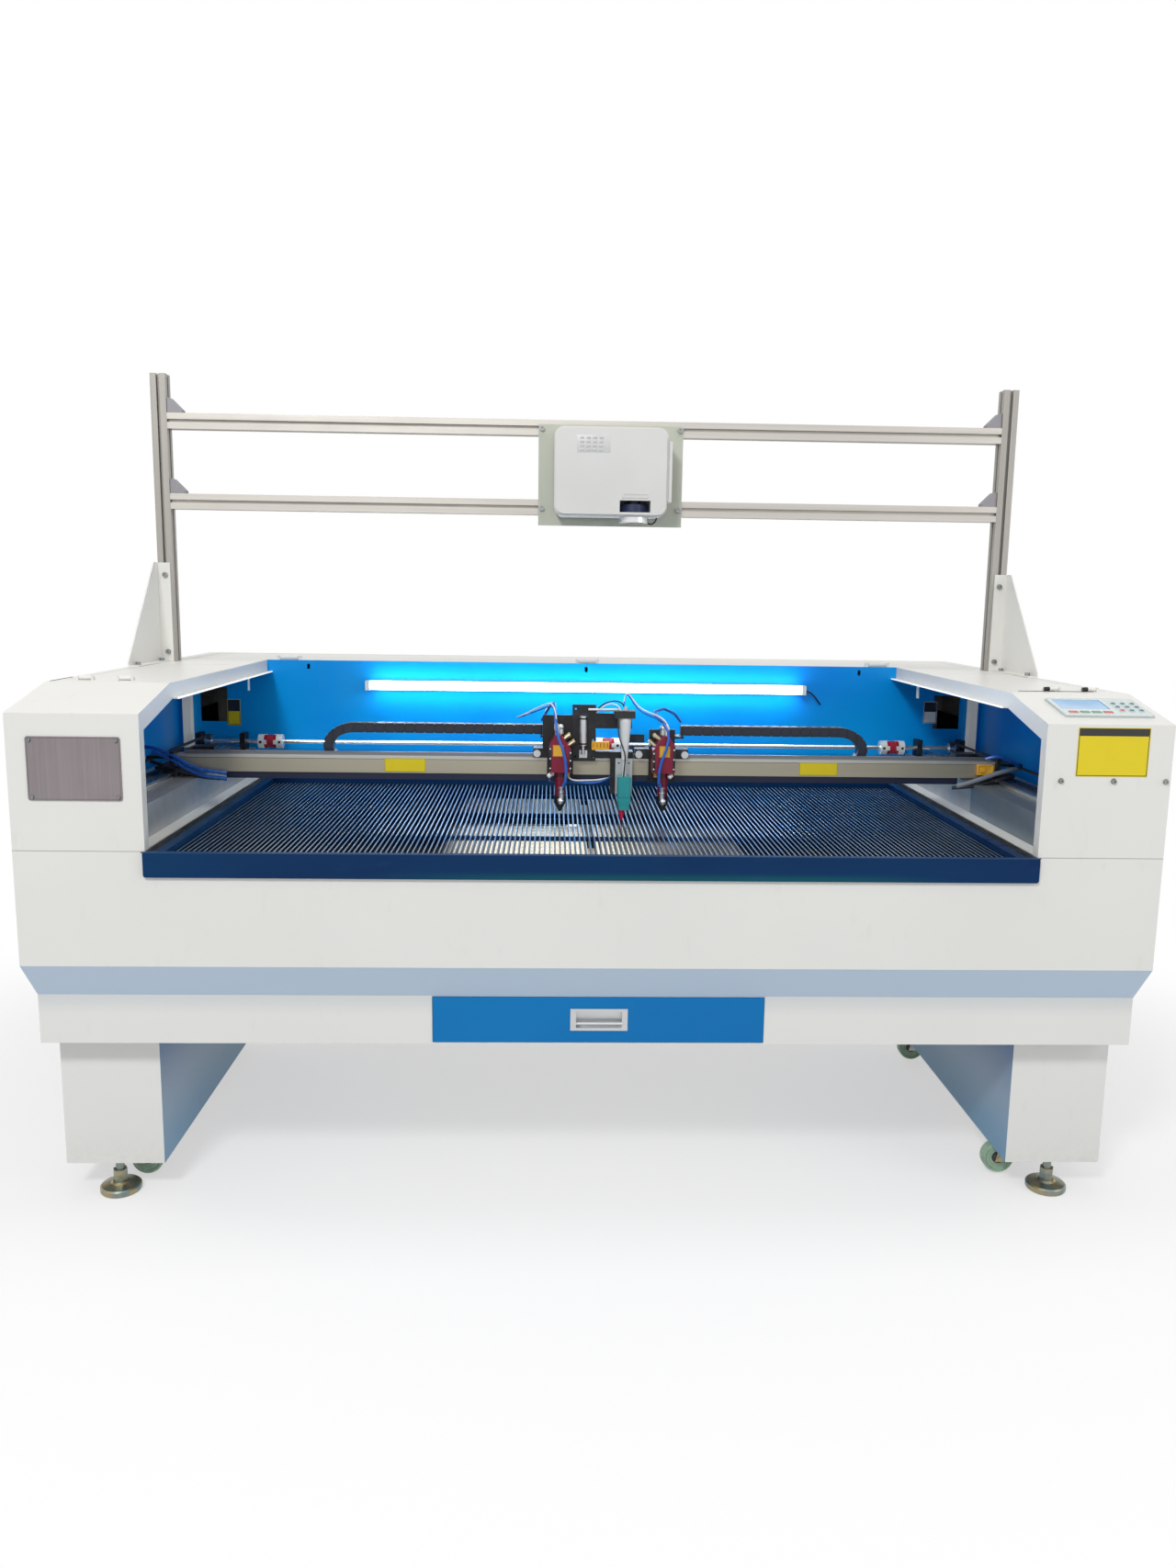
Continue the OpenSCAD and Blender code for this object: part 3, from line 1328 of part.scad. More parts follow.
// The left carriage also carries the frame of the marking valve.
module carriage_left() {
    x = head_left_x;
    color(black) in_place() {
        carriage_body(x, -1, left_top_z);
        // upright plate beside the head, joined to the face plate
        difference() {
            box_between([x + frame_x[0], frame_y0, beam_top_z - 4],
                        [x + frame_x[1], plate_y0 + eps, frame_top_z]);
            for (z = [beam_top_z + 6, beam_top_z + bolt_rise, frame_top_z - 10],
                 dx = [frame_x[0] + 8, frame_x[1] - 6]) {
                bar("y", 5, 10, [x + dx, frame_y0 - 1, z]);
            }
        }
        // cross bar over the window, and the rod above it
        box_between([x + frame_x[1] - 1, frame_y0, frame_z0], [marker_x + 18, plate_y0, frame_z1]);
        bar("x", 6, marker_x - 14 - (x + 66), [x + 66, frame_y0 - 2, frame_z1 + 9]);
        box_between([marker_x - 18, frame_y0, frame_z1 - eps], [marker_x - 10, plate_y0, frame_z1 + 14]);
        // lower bar on the guide, and the post that hangs in front of the beam
        difference() {
            box_between([x + 83, plate_y0 - 2, beam_top_z + 2],
                        [marker_x + 22, gantry_y + beam_d - 10, beam_top_z + 18]);
            box_between([x + 82, x_guide_y - gap, beam_top_z + 1],
                        [marker_x + 23, x_guide_y + x_guide_w + gap, beam_top_z + x_guide_h + gap]);
        }
        box_between([post_x0, frame_y0, beam_z - 44], [post_x1, plate_y1, beam_top_z + 18]);
        // pneumatic cylinder on the upright plate
        bar("z", 18, 70, [x + 54, frame_y0 - 8, beam_top_z + 34]);
        bar("z", 8, 24, [x + 54, frame_y0 - 8, beam_top_z + 12]);
        // terminal block
        box_between([x + 75, frame_y0 - 12, beam_top_z + 24], [x + 116, plate_y0 + eps, beam_top_z + 43]);
        // wide head plate behind the block, with a rounded corner
        difference() {
            box_between([x - 42, plate_y0, base_top_z - eps], [x + 41, plate_y1, left_top_z]);
            translate([x + 41, plate_y1 + 1, left_top_z]) rotate([90, 0, 0]) difference() {
                translate([-22, -22]) cube([30, 30, 8]);
                translate([-22, -22, -1]) cylinder(r = 22, h = 10);
            }
        }
    }
}

// ---------- heads ----------
block_z0 = nozzle_z + 96;
block_z1 = nozzle_z + 184;
shoulder = 34;
block_front = 26;

// Cutting head: house-shaped mirror block, lens tube, nozzle cone, mirror screws and air elbow.
module laser_head() {
    w = head_w / 2;
    back = plate_y0 - head_y - gap;
    translate([0, head_y, 0]) {
        along_y([
            [-w, block_z0], [-w, block_z1 - 24], [-w + 14, block_z1], [w - 24, block_z1],
            [w, block_z1 - shoulder], [w, block_z0]
        ], -block_front, back);
        bar("z", 24, block_z0 - nozzle_z - 38 + eps, [0, 0, nozzle_z + 38]);
        bar("z", 28, 18 + 2 * eps, [0, 0, nozzle_z + 20]);
        translate([0, 0, nozzle_z]) cylinder(d1 = 5, d2 = 27, h = 20 + eps);
        // mirror screws square to the sloping shoulder
        for (k = [0.28, 0.72], y = [-14, 12]) {
            translate([w - 24 * k, y, block_z1 - shoulder * (1 - k)]) rotate([0, 54.8, 0])
                translate([0, 0, -2]) cylinder(d = 8, h = 16);
        }
        // cap on top, with the fitting of the hose in front of it
        bar("z", 15, 13, [0, 2, block_z1 - eps]);
        bar("z", 10, 10, [-8, -9, block_z1 - eps]);
        // fittings under the block and at the nozzle
        bar("z", 9, 12, [w - 8, -10, block_z0 - 11]);
        bar("z", 9, 10, [-w + 8, -10, block_z0 - 9]);
        bar("y", 12, 22, [0, -34, nozzle_z + 29]);
        bar("z", 11, 24, [elbow_dx, -34 + 6, nozzle_z + 29]);
    }
}

elbow_dx = 3;

module laser_head_left() { color(maroon) in_place() translate([head_left_x, 0, 0]) laser_head(); }
module laser_head_right() {
    color(maroon) in_place() translate([head_right_x, 0, 0]) mirror([1, 0, 0]) laser_head();
}

// Air hose of a head: offsets from the head's axis and the nozzle's tip, from the chain's end
// over the top of the head and down its front to the nozzle's elbow.
left_route = [
    [-44, 106, 205], [-34, 84, 228], [-22, 56, 250], [-16, 30, 254], [-13, 8, 240], [-11, -10, 214],
    [-9, -29, 194], [-4, -33, 176], [5, -36, 154], [12, -37, 124], [14, -37, 98], [12, -36, 76],
    [6, -30, 62], [3, -28, 57], [3, -28, 53.3]
];
right_route = [
    [52, 106, 205], [34, 92, 226], [6, 66, 240], [-16, 40, 236], [-18, 18, 225], [-2, -4, 214],
    [8, -30, 196], [9, -33, 176], [4, -36, 154], [-7, -37, 124], [-12, -37, 98], [-12, -36, 76],
    [-6, -30, 62], [-3, -28, 57], [-3, -28, 53.3]
];

module head_hose(x, route) {
    lead_tube([for (p = route) [x + p[0], head_y + p[1], nozzle_z + p[2]]], 3.6, [1, 0.25, 0]);
}

module hose_left() { color([0.10, 0.35, 0.75]) in_place() head_hose(head_left_x, left_route); }
module hose_right() { color([0.10, 0.35, 0.75]) in_place() head_hose(head_right_x, right_route); }

// ---------- marking valve ----------
slide_y1 = frame_y0 - gap;
slide_y0 = slide_y1 - 6;
valve_y = slide_y0 - 8 - 15;
valve_z0 = marker_tip_z + 41;
valve_z1 = marker_tip_z + 106;

// Plate that slides up and down the post and carries the valve.
module marker_plate() {
    color(metal_grey) in_place() difference() {
        box_between([marker_x - 20, slide_y0, valve_z0 + 18], [marker_x + 20, slide_y1, beam_top_z + 3]);
        for (dx = [-12, 12], z = [valve_z0 + 28, beam_top_z - 8]) {
            bar("y", 4.5, 8, [marker_x + dx, slide_y0 - 1, z]);
        }
    }
}

// Valve body, needle and syringe barrel.
module marker_valve() {
    color([0.10, 0.60, 0.62]) in_place() {
        box_between([marker_x - 10, valve_y + 14, valve_z0 + 26],
                    [marker_x + 10, slide_y0 - gap, valve_z1 - 8]);
        translate([marker_x, valve_y, 0]) {
            translate([0, 0, valve_z0]) linear_extrude(valve_z1 - valve_z0) rounded(31, 30, 3);
            translate([0, 0, valve_z0 - 15]) linear_extrude(15 + eps) rounded(26, 25, 3);
            translate([-5, 0, marker_tip_z]) cylinder(d1 = 5, d2 = 15, h = 26 + eps);
            bar("z", 9, 34, [0, 0, valve_z1 - eps]);
            // tapered syringe barrel, and the clamp on its top
            translate([0, 0, valve_z1 + 32]) cylinder(d1 = 9, d2 = 14, h = 10 + eps);
            translate([0, 0, valve_z1 + 42]) cylinder(d1 = 14, d2 = 30, h = 97 + eps);
            translate([-2, 0, valve_z1 + 139]) linear_extrude(17) rounded(50, 34, 4);
            bar("z", 10, 9, [0, 0, valve_z1 + 156 - eps]);
        }
    }
}

base_cabinet();
duct_floor();
pedestals();
tower_cover_left();
tower_cover_right();
back_panel();
tube_housing();
rail_beams();
y_guides();
bed_frame();
blade_grid();
extraction_plates();
levelling_feet();
control_panel();
nameplate();
screws();
lamp_tube();
lamp_holder();
uprights();
frame_rails();
corner_brackets();
gussets();
projector_plate();
projector_case();
projector_focus_ring();
laser_tubes();
shaft_bearings();
y_belts();
tube_lid();
door_left();
door_right();
drawer();
drawer_pull();
caster_fork_front_left();
caster_fork_front_right();
caster_fork_rear_left();
caster_fork_rear_right();
caster_wheel_front_left();
caster_wheel_front_right();
caster_wheel_rear_left();
caster_wheel_rear_right();
drive_shaft();
shaft_spiders();
gantry_beam();
gantry_ends();
x_motors();
chain_lower_left();
chain_lower_right();
chain_bend_left();
chain_bend_right();
chain_upper_left();
chain_upper_right();
carriage_left();
carriage_right();
laser_head_left();
laser_head_right();
hose_left();
hose_right();
marker_plate();
marker_valve();
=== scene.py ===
"""Dresses the laser cutting machine: finishes, plates, keys, hoses and cables, and its stage."""
from math import atan2, cos, pi, radians, sin

import bpy
from mathutils import Matrix, Vector


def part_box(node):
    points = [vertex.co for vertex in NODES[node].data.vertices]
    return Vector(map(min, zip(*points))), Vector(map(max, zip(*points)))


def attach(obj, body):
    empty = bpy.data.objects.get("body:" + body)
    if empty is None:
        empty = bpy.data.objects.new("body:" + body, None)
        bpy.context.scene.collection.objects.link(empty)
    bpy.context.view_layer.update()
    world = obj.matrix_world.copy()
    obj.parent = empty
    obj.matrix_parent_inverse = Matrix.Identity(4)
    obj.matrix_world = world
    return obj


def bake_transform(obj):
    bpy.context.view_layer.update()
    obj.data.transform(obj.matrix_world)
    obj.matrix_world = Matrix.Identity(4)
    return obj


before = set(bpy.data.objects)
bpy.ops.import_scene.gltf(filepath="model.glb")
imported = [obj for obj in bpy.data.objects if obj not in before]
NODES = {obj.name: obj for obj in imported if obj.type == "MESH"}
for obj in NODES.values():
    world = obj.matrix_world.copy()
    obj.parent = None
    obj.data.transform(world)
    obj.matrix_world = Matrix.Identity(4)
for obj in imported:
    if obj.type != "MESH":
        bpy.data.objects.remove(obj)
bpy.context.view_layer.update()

bl_info = {
    "name": "Laser Cutting Machine Dressing",
    "version": (1, 0, 0),
    "blender": (4, 5, 0),
    "location": "3D View > Sidebar > Laser Machine",
    "description": "Finishes and fittings of a two head laser cutting machine",
    "category": "Object",
}

MM = 0.001
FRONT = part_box("base_cabinet")[0].y
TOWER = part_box("tower_cover_right")
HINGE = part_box("door_right")
HINGE_XS = (TOWER[0].x + 0.113, TOWER[0].x + 0.198)
MID_COUPLING, SIDE_COUPLING = 0.068, 0.875
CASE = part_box("projector_case")
RING_MIDDLE = (sum(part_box("projector_focus_ring"), Vector()) / 2).xy
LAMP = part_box("lamp_tube")
LINK, TOOTH, KNURLS = 0.024, 0.005, 72
MIRROR_X, MIRROR_Z = 0.817, 0.576
BLACK = (0.0, 0.0, 0.0)
CHAMFER = (0.4742, 0.5488)
PANEL_FOOT, PANEL_RUN = 1.057, 0.198
CAMERA_PLACE, CAMERA_TURN = (-0.0931, -2.9824, 1.3024), (0.0323, 0.1622, 0.0143)
SENSOR, FOCAL_SHARE = 36.0, 1276.76 / 1707


def spot(x, y, z):
    """A place in millimetres, with y counted back from the cabinet's front."""
    return Vector((x * MM, FRONT + y * MM, z * MM))


def tip(node):
    """The middle of a node's lowest face."""
    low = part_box(node)[0].z
    points = [v.co for v in NODES[node].data.vertices if v.co.z < low + 0.0005]
    return sum(points, Vector()) / len(points)


HEAD_LEFT = tip("laser_head_left")
HEAD_RIGHT = tip("laser_head_right")
MARKER = tip("marker_valve")


def tint(red, green, blue):
    """A screen colour from 0 to 255 as the linear colour that a shader takes."""
    return tuple(((v / 255 + 0.055) / 1.055) ** 2.4 if v > 10 else v / 255 / 12.92
                 for v in (red, green, blue))


def colour(name, about, rgb):
    return bpy.props.FloatVectorProperty(name=name, description=about, subtype="COLOR", size=3,
                                         min=0.0, max=1.0, default=tint(*rgb))


def length(name, about, mm):
    return bpy.props.FloatProperty(name=name, description=about, default=mm * MM, min=0.0001,
                                   unit="LENGTH", subtype="DISTANCE")


def power(name, about, watts):
    return bpy.props.FloatProperty(name=name, description=about, default=watts, min=0.0, unit="POWER")


class LaserColours(bpy.types.PropertyGroup):
    """Colours of the machine's finishes."""
    covers: colour("Covers", "Powder coat of the cabinet, towers and legs", (232, 231, 226))
    panels: colour("Blue panels", "Enamel of the back panel", (0, 160, 240))
    drawer: colour("Drawer", "Enamel of the drawer", (0, 118, 184))
    bed: colour("Bed frame", "Dark enamel of the bed frame and its lip", (2, 40, 84))
    # The blade flank colour is painted shade and blue reflection; the blade edge colour is bare metal with a
    # painted highlight.
    blades: colour("Blades", "Tinted flanks of the blades", (4, 44, 100))
    blade_edges: colour("Blade edges", "Bare upper edges of the blades", (184, 198, 204))
    extrusion: colour("Extrusions", "Anodised aluminium of the projector frame", (196, 192, 185))
    beam: colour("Beam", "Anodised aluminium of the gantry beam", (180, 174, 156))
    heads: colour("Heads", "Anodised mirror blocks of the cutting heads", (130, 16, 52))
    valve: colour("Valve", "Body of the marking valve", (38, 150, 155))
    needle: colour("Needle", "Tip of the marking valve", (200, 15, 70))
    air_hose: colour("Air hose", "Polyurethane air hoses", (30, 98, 190))
    chain: colour("Chains", "Moulded links of the drag chains", (14, 20, 34))
    plate: colour("Plates", "Plain self adhesive plates", (228, 206, 2))
    wheels: colour("Wheels", "Moulded treads of the casters", (160, 192, 166))
    lamp: colour("Lamp", "Glow of the tube lamp", (240, 250, 255))


class LaserSizes(bpy.types.PropertyGroup):
    """Sizes of the added pieces."""
    plate_w: length("Tower plate width", "Width of the plain plate on the right tower", 146)
    plate_h: length("Tower plate height", "Height of the plain plate on the right tower", 99)
    label_w: length("Beam label width", "Width of the small plates on the beam", 98)
    label_h: length("Beam label height", "Height of the small plates on the beam", 33)
    key_w: length("Key width", "Width of the keys under the screen", 18)
    round_key: length("Round key", "Diameter of the keys beside the screen", 9)
    hose_d: length("Hose diameter", "Diameter of the small air hoses", 6)
    cable_d: length("Cable diameter", "Diameter of the motor cables", 9)
    # The dark hinge recess is a piece of painted shade.
    slit_l: length("Hinge recess length", "Length of the dark recess in front of a hinge", 80)
    strip_w: length("Clamp strip width", "Width of the black strips on the heads", 5)


class LaserStage(bpy.types.PropertyGroup):
    """Floor, lamps and camera."""
    key_power: power("Key lamp", "Power of the large front lamp", 115)
    fill_power: power("Fill lamp", "Power of the side lamp", 28)
    top_power: power("Top lamp", "Power of the overhead lamp", 30)
    ambient: bpy.props.FloatProperty(name="Ambient", description="Strength of the surroundings",
                                     default=0.44, min=0.0)


# ---------- materials ----------
def sum_node(operation, flipped=False):
    """A method that adds one Math node to the material of its value."""
    def work(self, other=None):
        pair = (other, self) if flipped else (self, other)
        return self.paint.node("ShaderNodeMath", {"operation": operation}, dict(enumerate(pair)))
    return work


class Wire:
    """One value of a material, with the usual arithmetic."""
    __add__, __radd__ = sum_node("ADD"), sum_node("ADD", True)
    __sub__, __rsub__ = sum_node("SUBTRACT"), sum_node("SUBTRACT", True)
    __mul__, __rmul__ = sum_node("MULTIPLY"), sum_node("MULTIPLY", True)
    __truediv__, __rtruediv__ = sum_node("DIVIDE"), sum_node("DIVIDE", True)
    __gt__, __lt__ = sum_node("GREATER_THAN"), sum_node("LESS_THAN")
    __pow__, __abs__ = sum_node("POWER"), sum_node("ABSOLUTE")
    most, least = sum_node("MAXIMUM"), sum_node("MINIMUM")
    fraction, angle = sum_node("FRACT"), sum_node("ARCTAN2")

    def __init__(self, paint, socket):
        self.paint, self.socket = paint, socket

    def turns(self, pitch):
        """Where the value lies within one pitch, from 0 to 1."""
        return (self / pitch).fraction()

    def between(self, low, high):
        return (self > low) * (self < high)

    def ramp(self, low, high):
        """0 below low and 1 above high, smooth between them."""
        return self.paint.node("ShaderNodeMapRange", {"interpolation_type": "SMOOTHSTEP"},
                               {"Value": self, "From Min": low, "From Max": high})


def shade(rgb):
    """A linear colour as it is, or three numbers of a screen colour made linear."""
    return tint(*rgb) if len(rgb) == 3 else rgb[0]


class Paint:
    """A material, the nodes that make it, and the base colour laid so far."""

    def __init__(self, name, *rgb, tree=None):
        if tree is None:
            self.material = bpy.data.materials.new(name)
            self.material.use_nodes = True
            tree = self.material.node_tree
        tree.nodes.clear()
        self.tree, self.space = tree, None
        self.base = shade(rgb) if rgb else None

    def node(self, kind, settings=None, sockets=None, out=0):
        new = self.tree.nodes.new(kind)
        for key, value in (settings or {}).items():
            if key == "stops":
                stops = new.color_ramp.elements
                while len(stops) < len(value):
                    stops.new(0.5)
                for stop, (place, rgb) in zip(stops, value):
                    stop.position, stop.color = place, (*rgb, 1.0)
            else:
                setattr(new, key, value)
        for key, value in (sockets or {}).items():
            if isinstance(value, Wire):
                self.tree.links.new(value.socket, new.inputs[key])
            elif value is not None:
                socket = new.inputs[key]
                socket.default_value = (*value, 1.0) if socket.type == "RGBA" else value
        return Wire(self, new.outputs[out])

    def place(self):
        """The Object coordinates as three values."""
        if self.space is None:
            self.space = self.node("ShaderNodeTexCoord", out=3)
            split = self.node("ShaderNodeSeparateXYZ", None, {0: self.space}).socket.node
            self.xyz = [Wire(self, split.outputs[i]) for i in range(3)]
        return self.xyz

    def noise(self, scale, stretch=(1.0, 1.0, 1.0), detail=2.0):
        self.place()
        run = self.node("ShaderNodeVectorMath", {"operation": "MULTIPLY"}, {0: self.space, 1: stretch})
        return self.node("ShaderNodeTexNoise", None, {"Vector": run, "Scale": scale, "Detail": detail})

    def blend(self, factor, one, other):
        return self.node("ShaderNodeMix", {"data_type": "RGBA"}, {0: factor, 6: one, 7: other}, 2)

    def lay(self, share, *rgb):
        """Lays one more colour over a share of the base."""
        self.base = self.blend(share, self.base, shade(rgb))

    def film(self, scale, low, high, detail=4.0):
        """Soft clouds of dust or shade, from 0 to 1."""
        return self.noise(scale, detail=detail).ramp(low, high)

    def bump(self, height, depth, strength=1.0):
        return self.node("ShaderNodeBump", None,
                         {"Height": height, "Distance": depth, "Strength": strength})

    def shader(self, grain=None, **sockets):
        """The surface; grain is the scale, depth and strength of a fine bump, and perhaps its detail."""
        if grain:
            scale, depth, strength, *detail = grain
            sockets["Normal"] = self.bump(self.noise(scale, (1.0, 1.0, 1.0), *detail), depth, strength)
        named = {key.replace("_", " "): value for key, value in sockets.items()}
        self.output(self.node("ShaderNodeBsdfPrincipled", None, {"Base Color": self.base, **named}))
        return self.material

    def output(self, surface):
        end = self.tree.nodes.new("ShaderNodeOutputMaterial")
        self.tree.links.new(surface.socket, end.inputs["Surface"])


def begin(name, *rgb):
    """A new material with its base colour, and the place on the surface as three values."""
    p = Paint(name, *rgb)
    return p, *p.place()


def reach(a, b):
    """How far a place lies from an axis, from its two offsets."""
    return (a * a + b * b) ** 0.5


def inset(x, z, low, high):
    """How far a place lies inside the edge of a plate."""
    middle, half = (low + high) / 2, (high - low) / 2
    return (half.x - abs(x - middle.x)).least(half.z - abs(z - middle.z))


def within(x, low, high):
    """How far a place lies from the nearer end of a piece."""
    return (x - low.x).least(high.x - x)


def darker(rgb, share):
    return tuple(v * share for v in rgb)


def enamel(name, rgb, other, gloss=0.3, coat=0.08):
    """Smooth stove enamel with slow changes of shade and faint scuffs."""
    p = Paint(name, rgb)
    cloud = p.noise(1.6, (1.0, 1.0, 1.6), 3.0).ramp(0.32, 0.72)
    scuffs = p.noise(30.0, (1.0, 1.0, 0.2), 4.0).ramp(0.6, 0.8)
    p.lay(cloud * 0.7, other)
    p.lay(scuffs * 0.03, 90, 140, 190)
    return p.shader(Roughness=gloss + scuffs * 0.12 + cloud * 0.05,
                    Coat_Weight=coat, Specular_IOR_Level=0.22, grain=(420.0, 0.0001, 0.25))


def brushed(name, rgb, along, rough=0.34, metal=1.0, worn=0.12, scale=60.0):
    """Metal brushed along one direction; along holds the stretch of the grain."""
    p = Paint(name, rgb)
    lines = p.noise(scale, along, 5.0)
    patches = p.film(9.0, 0.35, 0.75, 3.0)
    p.lay(lines.ramp(0.3, 0.7) * 0.5, darker(rgb, 0.82))
    p.lay(patches * worn, darker(rgb, 0.6))
    return p.shader(Metallic=metal, Roughness=rough + lines * 0.16 + patches * 0.06,
                    Normal=p.bump(lines, 0.00012, 0.4))


def moulded(name, rgb, rough=0.46, grain=900.0, metal=0.0, dust=0.1):
    """Moulded plastic or black anodised metal with a fine grain and light dust."""
    p = Paint(name, rgb)
    fine = p.noise(grain, detail=1.0)
    film = p.film(24.0, 0.45, 0.75)
    p.lay(film * dust, 150, 152, 156)
    return p.shader(Metallic=metal, Roughness=rough + film * 0.1, Normal=p.bump(fine, 0.00008, 0.4))


def zinc_plate(name, rgb=(176, 178, 176), warm=(170, 156, 118)):
    """Passivated zinc: silver with yellow and blue clouds."""
    p = Paint(name)
    cloud = p.noise(34.0, detail=4.0)
    p.base = p.node("ShaderNodeValToRGB", {"stops": [
        (0.3, tint(112, 138, 140)), (0.45, tint(*rgb)), (0.6, tint(*warm)),
        (0.75, tint(120, 140, 136))]}, {0: cloud})
    return p.shader(Metallic=0.92, Roughness=0.24 + p.noise(160.0) * 0.2, grain=(300.0, 0.0001, 0.4))


def dress(material, *nodes):
    """Puts one material on all the slots of the named CAD nodes."""
    for name in nodes:
        node = NODES[name]
        if not node.material_slots:
            node.data.materials.append(material)
        for place in node.material_slots:
            place.material = material


# ---------- modelling helpers ----------
def fresh():
    """Back to object mode with nothing selected."""
    if bpy.context.object and bpy.context.object.mode != "OBJECT":
        bpy.ops.object.mode_set(mode="OBJECT")
    bpy.ops.object.select_all(action="DESELECT")


def only(piece):
    fresh()
    piece.select_set(True)
    bpy.context.view_layer.objects.active = piece


def settle(piece):
    """Applies a piece's place, turn and size to its mesh."""
    only(piece)
    bpy.ops.object.transform_apply(location=True, rotation=True, scale=True)


def rounded_edges(piece, width, steps):
    only(piece)
    soft = piece.modifiers.new("Rounded edges", "BEVEL")
    soft.width, soft.segments, soft.limit_method, soft.angle_limit = width, steps, "ANGLE", radians(35)
    bpy.ops.object.modifier_apply(modifier=soft.name)


def pick_faces(piece, towards):
    """Selects the faces that look one way, and opens edit mode on them."""
    only(piece)
    mesh = piece.data
    for group in (mesh.vertices, mesh.edges, mesh.polygons):
        group.foreach_set("select", [False] * len(group))
    for face in mesh.polygons:
        face.select = face.normal.dot(Vector(towards)) > 0.95
    bpy.ops.object.mode_set(mode="EDIT")
    bpy.ops.mesh.select_mode(type="FACE")


def block(name, low, high, edge=0.0005, steps=2, rim=None):
    """A block with rounded edges; rim = (direction, width, depth) sinks a field in one face."""
    fresh()
    low, high = Vector(low), Vector(high)
    bpy.ops.mesh.primitive_cube_add(size=1, location=(low + high) / 2)
    piece = bpy.context.object
    piece.name = piece.data.name = name
    piece.scale = high - low
    settle(piece)
    if rim:
        pick_faces(piece, rim[0])
        bpy.ops.mesh.inset(thickness=rim[1], depth=0)
        bpy.ops.mesh.inset(thickness=rim[1] * 0.25, depth=rim[2])
        bpy.ops.object.mode_set(mode="OBJECT")
    rounded_edges(piece, edge, steps)
    return piece


def turned(rings, sides=24):
    """A turned piece standing on Z: a disc raised and resized ring by ring, (radius, height) in mm."""
    fresh()
    rings = [(wide * MM, high * MM) for wide, high in rings]
    radius, height = rings[0]
    bpy.ops.mesh.primitive_circle_add(vertices=sides, radius=radius, fill_type="NGON",
                                      location=(0, 0, height))
    piece = bpy.context.object
    settle(piece)
    bpy.ops.object.mode_set(mode="EDIT")
    bpy.ops.mesh.select_all(action="SELECT")
    for wide, high in rings[1:]:
        bpy.ops.mesh.extrude_region_move(TRANSFORM_OT_translate={"value": (0, 0, high - height)})
        if abs(wide - radius) > 1e-7:
            bpy.ops.transform.resize(value=(wide / radius, wide / radius, 1),
                                     center_override=(0, 0, high))
        radius, height = wide, high
    bpy.ops.mesh.select_all(action="SELECT")
    bpy.ops.mesh.remove_doubles(threshold=1e-6)
    bpy.ops.mesh.normals_make_consistent(inside=False)
    bpy.ops.object.mode_set(mode="OBJECT")
    return piece


def moved(piece, matrix):
    piece.matrix_world = matrix @ piece.matrix_world
    settle(piece)
    return piece


def stood(piece, place, direction):
    """Stands a turned piece at a place, pointing one way."""
    turn = Vector((0, 0, 1)).rotation_difference(Vector(direction)).to_matrix().to_4x4()
    return moved(piece, Matrix.Translation(place) @ turn)


def hose(name, points, width):
    """A round hose swept along a smooth run of points."""
    fresh()
    bpy.ops.curve.primitive_nurbs_path_add()
    piece = bpy.context.object
    piece.name = name
    run = piece.data
    run.splines.clear()
    line = run.splines.new("NURBS")
    line.points.add(len(points) - 1)
    for point, place in zip(line.points, points):
        point.co = (*place, 1.0)
    line.order_u, line.use_endpoint_u, line.resolution_u = 4, True, 6
    run.dimensions, run.bevel_depth, run.bevel_resolution, run.use_fill_caps = "3D", width / 2, 3, True
    piece.location = (0, 0, 0)
    only(piece)
    bpy.ops.object.convert(target="MESH")
    piece = bpy.context.object
    piece.name = piece.data.name = name
    return piece


def joined(name, pieces):
    fresh()
    for piece in pieces:
        piece.select_set(True)
    bpy.context.view_layer.objects.active = pieces[0]
    if len(pieces) > 1:
        bpy.ops.object.join()
    whole = bpy.context.object
    whole.name = whole.data.name = name
    return whole


def fit(piece, body, material, angle=35):
    """Shades a finished piece, gives it its material and lets it ride on a body."""
    only(piece)
    bpy.ops.object.shade_smooth_by_angle(angle=radians(angle))
    piece.data.materials.clear()
    piece.data.materials.append(material)
    if body:
        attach(piece, body)


# ---------- finishes of the machine's own pieces ----------
def colours():
    return bpy.context.scene.laser_colours


def sizes():
    return bpy.context.scene.laser_sizes


def cover_coat(name, rgb, edge_z=None, dark_z=None, shades=()):
    """Powder coat of the covers, with the shadow line of a seam, black hinge parts, and fields of painted
    shade, some of them also given a painted glow.
    """
    p, x, y, z = begin(name, rgb)
    cloud = p.noise(2.2, detail=3.0)
    marks = p.noise(38.0, (1.0, 1.0, 0.35), 4.0).ramp(0.62, 0.78)
    p.lay(cloud.ramp(0.3, 0.75) * 0.5, darker(rgb, 0.94))
    p.lay(marks * 0.06, 150, 148, 142)
    dust = z.ramp(0.16, 0.075) * p.noise(60.0).ramp(0.3, 0.8)
    p.lay(dust * 0.08, 150, 142, 130)
    glow = BLACK
    # Painted shade laid on each given field; a field with a fourth value also gets a painted glow.
    for field, amount, hue, *lit in shades:
        share = field(x, y, z)
        p.lay(share * amount, hue)
        if lit:
            glow = p.blend(share * lit[0], glow, hue)
    rough = 0.3 + cloud * 0.12 + marks * 0.08
    if edge_z:
        p.lay(z.between(edge_z - 0.001, edge_z + 0.0016) * 0.6, 96, 96, 92)
    if dark_z:
        near = abs(x - HINGE_XS[0]).least(abs(x - HINGE_XS[1])) < 0.0085
        p.lay((z > dark_z) * (y < HINGE[0].y + 0.0085) * near, 24, 24, 28)
    return p.shader(Roughness=rough, Emission_Color=glow, Emission_Strength=1.0,
                    grain=(620.0, 0.00012, 0.3, 1.0))


